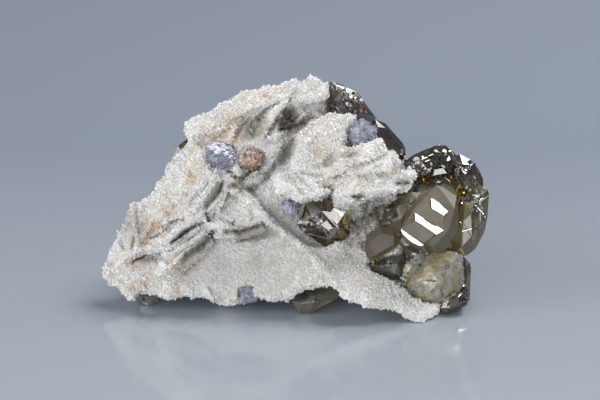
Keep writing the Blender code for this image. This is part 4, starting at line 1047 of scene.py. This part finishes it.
def facets(pieces, name, finish):
    """The mirror-like steps, the pale front facets and the small glints, all flat and clean."""
    tree = surface_of(pieces)
    body = bmesh.new()
    for outline, proud in zip(BRIGHT_FACETS, BRIGHT_PROUD):
        facet(body, tree, outline, BRIGHT_AXIS, BRIGHT_RUN, proud)
    for outline in PALE_FACETS:
        facet(body, tree, outline, FRONT_AXIS, PALE_RUN, PALE_PROUD)
    chance = random.Random(8)
    for across, up, length, width, slope in GLINTS:
        length, width = length * GLINT_SHARE, width * GLINT_SHARE
        c, s = math.cos(math.radians(slope)), math.sin(math.radians(slope))
        outline = [(across + (x * length * c - y * width * s), up + (x * length * s + y * width * c))
                   for x, y in GLINT_SHAPE]
        tilt = Vector([chance.uniform(-0.03, 0.03) for _ in range(3)])
        facet(body, tree, outline, (BRIGHT_AXIS + tilt).normalized(), GLINT_RUN, GLINT_PROUD)
    return grown(body, name, finish, lambda mesh: [0.0] * len(mesh.polygons))


def any_way(chance):
    """A direction drawn evenly from all directions."""
    return Vector((chance.gauss(0, 1), chance.gauss(0, 1), chance.gauss(0, 1))).normalized()


def small_crystals(pieces, name, finish):
    """Small crystals grown on and between the large ones."""
    chance = random.Random(17)
    tree = surface_of(pieces)
    body = bmesh.new()
    for across, up, reach_across, reach_up, count, least, most in CRYSTAL_PATCHES:
        for _ in range(count):
            hit = eye_hit(tree, across + chance.gauss(0, 0.5) * reach_across,
                          up + chance.gauss(0, 0.5) * reach_up)
            if hit is None:
                continue
            size = chance.uniform(least, most) * MM
            corners = []
            for _ in range(CRYSTAL_CORNERS):
                way = any_way(chance)
                corner = hit + way * size * chance.uniform(0.85, 1.1) * 0.62 + AWAY * size * 0.25
                corners.append(body.verts.new(corner))
            made = bmesh.ops.convex_hull(body, input=corners)
            spare = made["geom_interior"] + made["geom_unused"]
            spare = list({part for part in spare if isinstance(part, bmesh.types.BMVert)})
            bmesh.ops.delete(body, geom=spare, context="VERTS")
    return grown(body, name, finish, etching)


# The frosted crystal: its centre, radius, and the edges of its coat as seen
FROST_CENTRE = placed(27.6, -16.0, -1.2)
FROST_RADIUS = 7.4
FROST_RIGHT = 32.4
FROST_TOP = -10.4
FROST_CORNER = (28.0, -21.6, 0.9)       # the coat ends below a line from here, with this slope
FROST_EDGE = 0.5                        # longest edge of the coat's faces
FROST_ROUNDS = 16                       # rounds of smoothing
FROST_THICKNESS = 0.35
FROST_RISE = 0.24


def frosted(face):
    """Whether the frosted coat lies over this face."""
    place = face.calc_center_median()
    across, up, _ = seen_spot(place)
    corner_across, corner_up, slope = FROST_CORNER
    below = across > corner_across and up < corner_up + (across - corner_across) * slope
    near = (place - FROST_CENTRE * MM).length <= FROST_RADIUS * MM
    return near and face.normal.dot(AWAY) <= 0.25 and across <= FROST_RIGHT and up <= FROST_TOP and not below


def frosted_coat(piece, name, finish):
    """The rough mottled skin of the frosted crystal, laid over its faces."""
    body = bmesh.new()
    body.from_mesh(piece.data)
    bmesh.ops.delete(body, geom=[face for face in body.faces if not frosted(face)], context="FACES")
    bmesh.ops.triangulate(body, faces=body.faces)
    for _ in range(4):
        long = [edge for edge in body.edges if edge.calc_length() > FROST_EDGE * MM]
        bmesh.ops.subdivide_edges(body, edges=long, cuts=1)
        bmesh.ops.triangulate(body, faces=body.faces)
    for _ in range(FROST_ROUNDS):
        bmesh.ops.smooth_vert(body, verts=body.verts, factor=0.5,
                              use_axis_x=True, use_axis_y=True, use_axis_z=True)
    mesh = bpy.data.meshes.new(name)
    body.to_mesh(mesh)
    body.free()
    points = coordinates(mesh) / MM
    rise = noise_at(points, 2.2, 41) * 0.10 + noise_at(points, 0.6, 42) * 0.05 + FROST_RISE
    move_points(mesh, points + normals_of(mesh) * rise[:, None])
    coat = new_object(name, mesh)
    thick = coat.modifiers.new("thickness", "SOLIDIFY")
    thick.thickness = FROST_THICKNESS * MM
    thick.offset = -1.0
    coat = baked(coat, name)
    coat.data.shade_smooth()
    dress(coat, finish)
    return coat


# Galena and carbonate

GALENA_NODES = ("galena_left", "galena_top", "galena_middle", "galena_low")
CLEAVE_SIZE = 0.62        # side of a galena step
CLEAVE_COUNT = 110        # steps on each grain
CLEAVE_CORE = 0.86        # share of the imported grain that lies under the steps
CLEAVE_SINK = 0.52        # share of a step that is sunk
GALENA_SEED = 61
CARBONATE_VOXEL = 0.22
CARBONATE_SINK = 0.35
CARBONATE_SQUEEZE = 0.26  # how much narrower the grain is from lower right to upper left


def cleaved(node, finish, seed):
    """A galena grain as many small cubes that share one lattice, with stepped cleavage faces."""
    chance = random.Random(seed)
    form = node_copy(node, "form_" + node)
    points = coordinates(form.data)
    middle = Vector((points.max(axis=0) + points.min(axis=0)) / 2)
    lattice = Euler([chance.uniform(0, math.tau) for _ in range(3)]).to_matrix()
    tree = surface_of([form])
    body = bmesh.new()
    body.from_mesh(form.data)
    bmesh.ops.scale(body, vec=[CLEAVE_CORE] * 3, verts=body.verts, space=Matrix.Translation(-middle))
    for _ in range(CLEAVE_COUNT):
        way = any_way(chance)
        hit = tree.ray_cast(middle, way)[0]
        if hit is None:
            continue
        wobble = Euler([chance.gauss(0, 0.10) for _ in range(3)]).to_matrix()
        side = CLEAVE_SIZE * chance.uniform(0.6, 1.7) * MM
        turn = (lattice @ wobble).to_4x4()
        sides = Matrix.Diagonal((side * chance.uniform(0.7, 1.4), side, side * chance.uniform(0.5, 1.0), 1.0))
        centre = Matrix.Translation(hit - way * side * CLEAVE_SINK)
        bmesh.ops.create_cube(body, size=1.0, matrix=centre @ turn @ sides)
    bmesh.ops.triangulate(body, faces=body.faces)
    mesh = bpy.data.meshes.new("cleaved_" + node)
    body.to_mesh(mesh)
    body.free()
    bpy.data.objects.remove(form, do_unlink=True)
    grain = new_object("cleaved_" + node, mesh)
    dress(grain, finish)
    return grain


def crumbly(node, finish):
    """The carbonate grain: an uneven lump with pits and crumbs."""
    grain = skinned(node_copy(node, "crumbly_" + node), CARBONATE_VOXEL)
    points = coordinates(grain.data) / MM
    out = noise_at(points, 1.5, 51) * 0.75 + noise_at(points, 0.6, 52) * 0.30
    out += noise_at(points, 0.3, 53) * 0.12 - CARBONATE_SINK
    moved = points + normals_of(grain.data) * out[:, None]
    narrow = np.array((ACROSS - UPWARD).normalized())
    offset = (moved - moved.mean(axis=0)) @ narrow
    move_points(grain.data, moved - narrow * (offset * CARBONATE_SQUEEZE)[:, None])
    dress(grain, finish)
    return grain


# Stage

LIGHT_MIDDLE = Vector((0.01, 0.0, 0.02))      # what the lights point at, in metres
# Each light: its place from that middle, its width and height, both in metres, its power, and its colour
LIGHTS = {
    "hot_middle": (Vector((0.526, 0.263, 0.808)).normalized() * 0.62, (0.17, 0.17), 0.95, (1.0, 0.985, 0.96)),
    "soft_box": (Vector((0.28, 0.36, 0.70)), (0.42, 0.36), 5.0, (1.0, 0.99, 0.98)),
    "front_box": (Vector((-0.35, -0.95, 0.22)), (1.05, 0.55), 6.6, (1.0, 1.0, 1.0)),
    "left_box": (Vector((-0.85, -0.15, 0.45)), (0.5, 0.6), 2.8, (1.0, 1.0, 1.0))}
ROOM_COLOUR = (0.56, 0.62, 0.70, 1)
ROOM_STRENGTH = 0.30
FLOOR_SIZE = 6.0          # metres


def floor(finish):
    bpy.ops.mesh.primitive_plane_add(size=FLOOR_SIZE, location=(0, 0, 0))
    ground = bpy.context.active_object
    ground.name = "floor"
    dress(ground, finish)


def lights():
    """A soft box overhead with a brighter middle, one in front, one at the left, and a dim grey room."""
    for name, (offset, size, power, colour) in LIGHTS.items():
        data = bpy.data.lights.new(name, "AREA")
        data.shape = "RECTANGLE"
        data.size, data.size_y = size
        data.energy = power
        data.color = colour
        lamp = new_object(name, data)
        lamp.location = LIGHT_MIDDLE + offset
        lamp.rotation_euler = (-offset).to_track_quat("-Z", "Y").to_euler()
    world = bpy.data.worlds.new("studio")
    world.use_nodes = True
    world.node_tree.nodes["Background"].inputs["Color"].default_value = ROOM_COLOUR
    world.node_tree.nodes["Background"].inputs["Strength"].default_value = ROOM_STRENGTH
    bpy.context.scene.world = world


def camera():
    """The camera, at the eye that the places are measured from."""
    data = bpy.data.cameras.new("camera")
    data.sensor_width = 36.0
    data.lens = 135.0
    data.clip_start = 0.01
    eye = new_object("camera", data)
    eye.location = (SIGHT_POINT - AWAY * EYE_DISTANCE) * MM
    eye.rotation_euler = (math.pi / 2 - VIEW_TILT, 0, 0)
    bpy.context.scene.camera = eye


def keep(piece, slot_name, *replaced):
    """Fixes a finished piece to the specimen."""
    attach(piece, "root")
    if replaced:
        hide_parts(*replaced)


def main():
    camera()
    lights()
    floor(floor_finish("pale_floor"))

    stone_finish = quartz_finish("quartz_body", 0.5)
    druse_finish = quartz_finish("quartz_druse", 0.22)
    stone = quartz_stone(stone_finish)
    for piece in druse(stone, druse_finish, druse_tree("druse")):
        keep(piece, "quartz")
    keep(stone, "quartz", "quartz_matrix")

    olive = sphalerite_finish("sphalerite_olive", *OLIVE)
    amber = sphalerite_finish("sphalerite_amber", *AMBER)
    pale = sphalerite_finish("sphalerite_pale", *PALE)
    looks_of = {node: amber for node in DARK_NODES} | {node: pale for node in PALE_NODES}
    crystals = {node: sphalerite_crystal(node, looks_of.get(node, olive)) for node in CRYSTAL_NODES}
    for node, piece in crystals.items():
        keep(piece, "sphalerite", node)
    all_crystals = list(crystals.values())
    frost = frosted_finish("sphalerite_frosted")
    keep(frosted_coat(crystals["sphalerite_right_cluster"], "frosted_coat", frost), "sphalerite")
    keep(facets(all_crystals, "flat_facets", olive), "sphalerite")
    keep(small_crystals(all_crystals, "small_crystals", olive), "sphalerite")

    grey_metal = galena_finish("galena_cleavage")
    for number, node in enumerate(GALENA_NODES):
        keep(cleaved(node, grey_metal, GALENA_SEED + number), "galena", node)
    keep(crumbly("carbonate_grain", carbonate_finish("rusty_carbonate")), "carbonate", "carbonate_grain")

    bpy.context.scene.view_settings.view_transform = "Standard"
    bpy.context.scene.cycles.use_denoising = True


main()
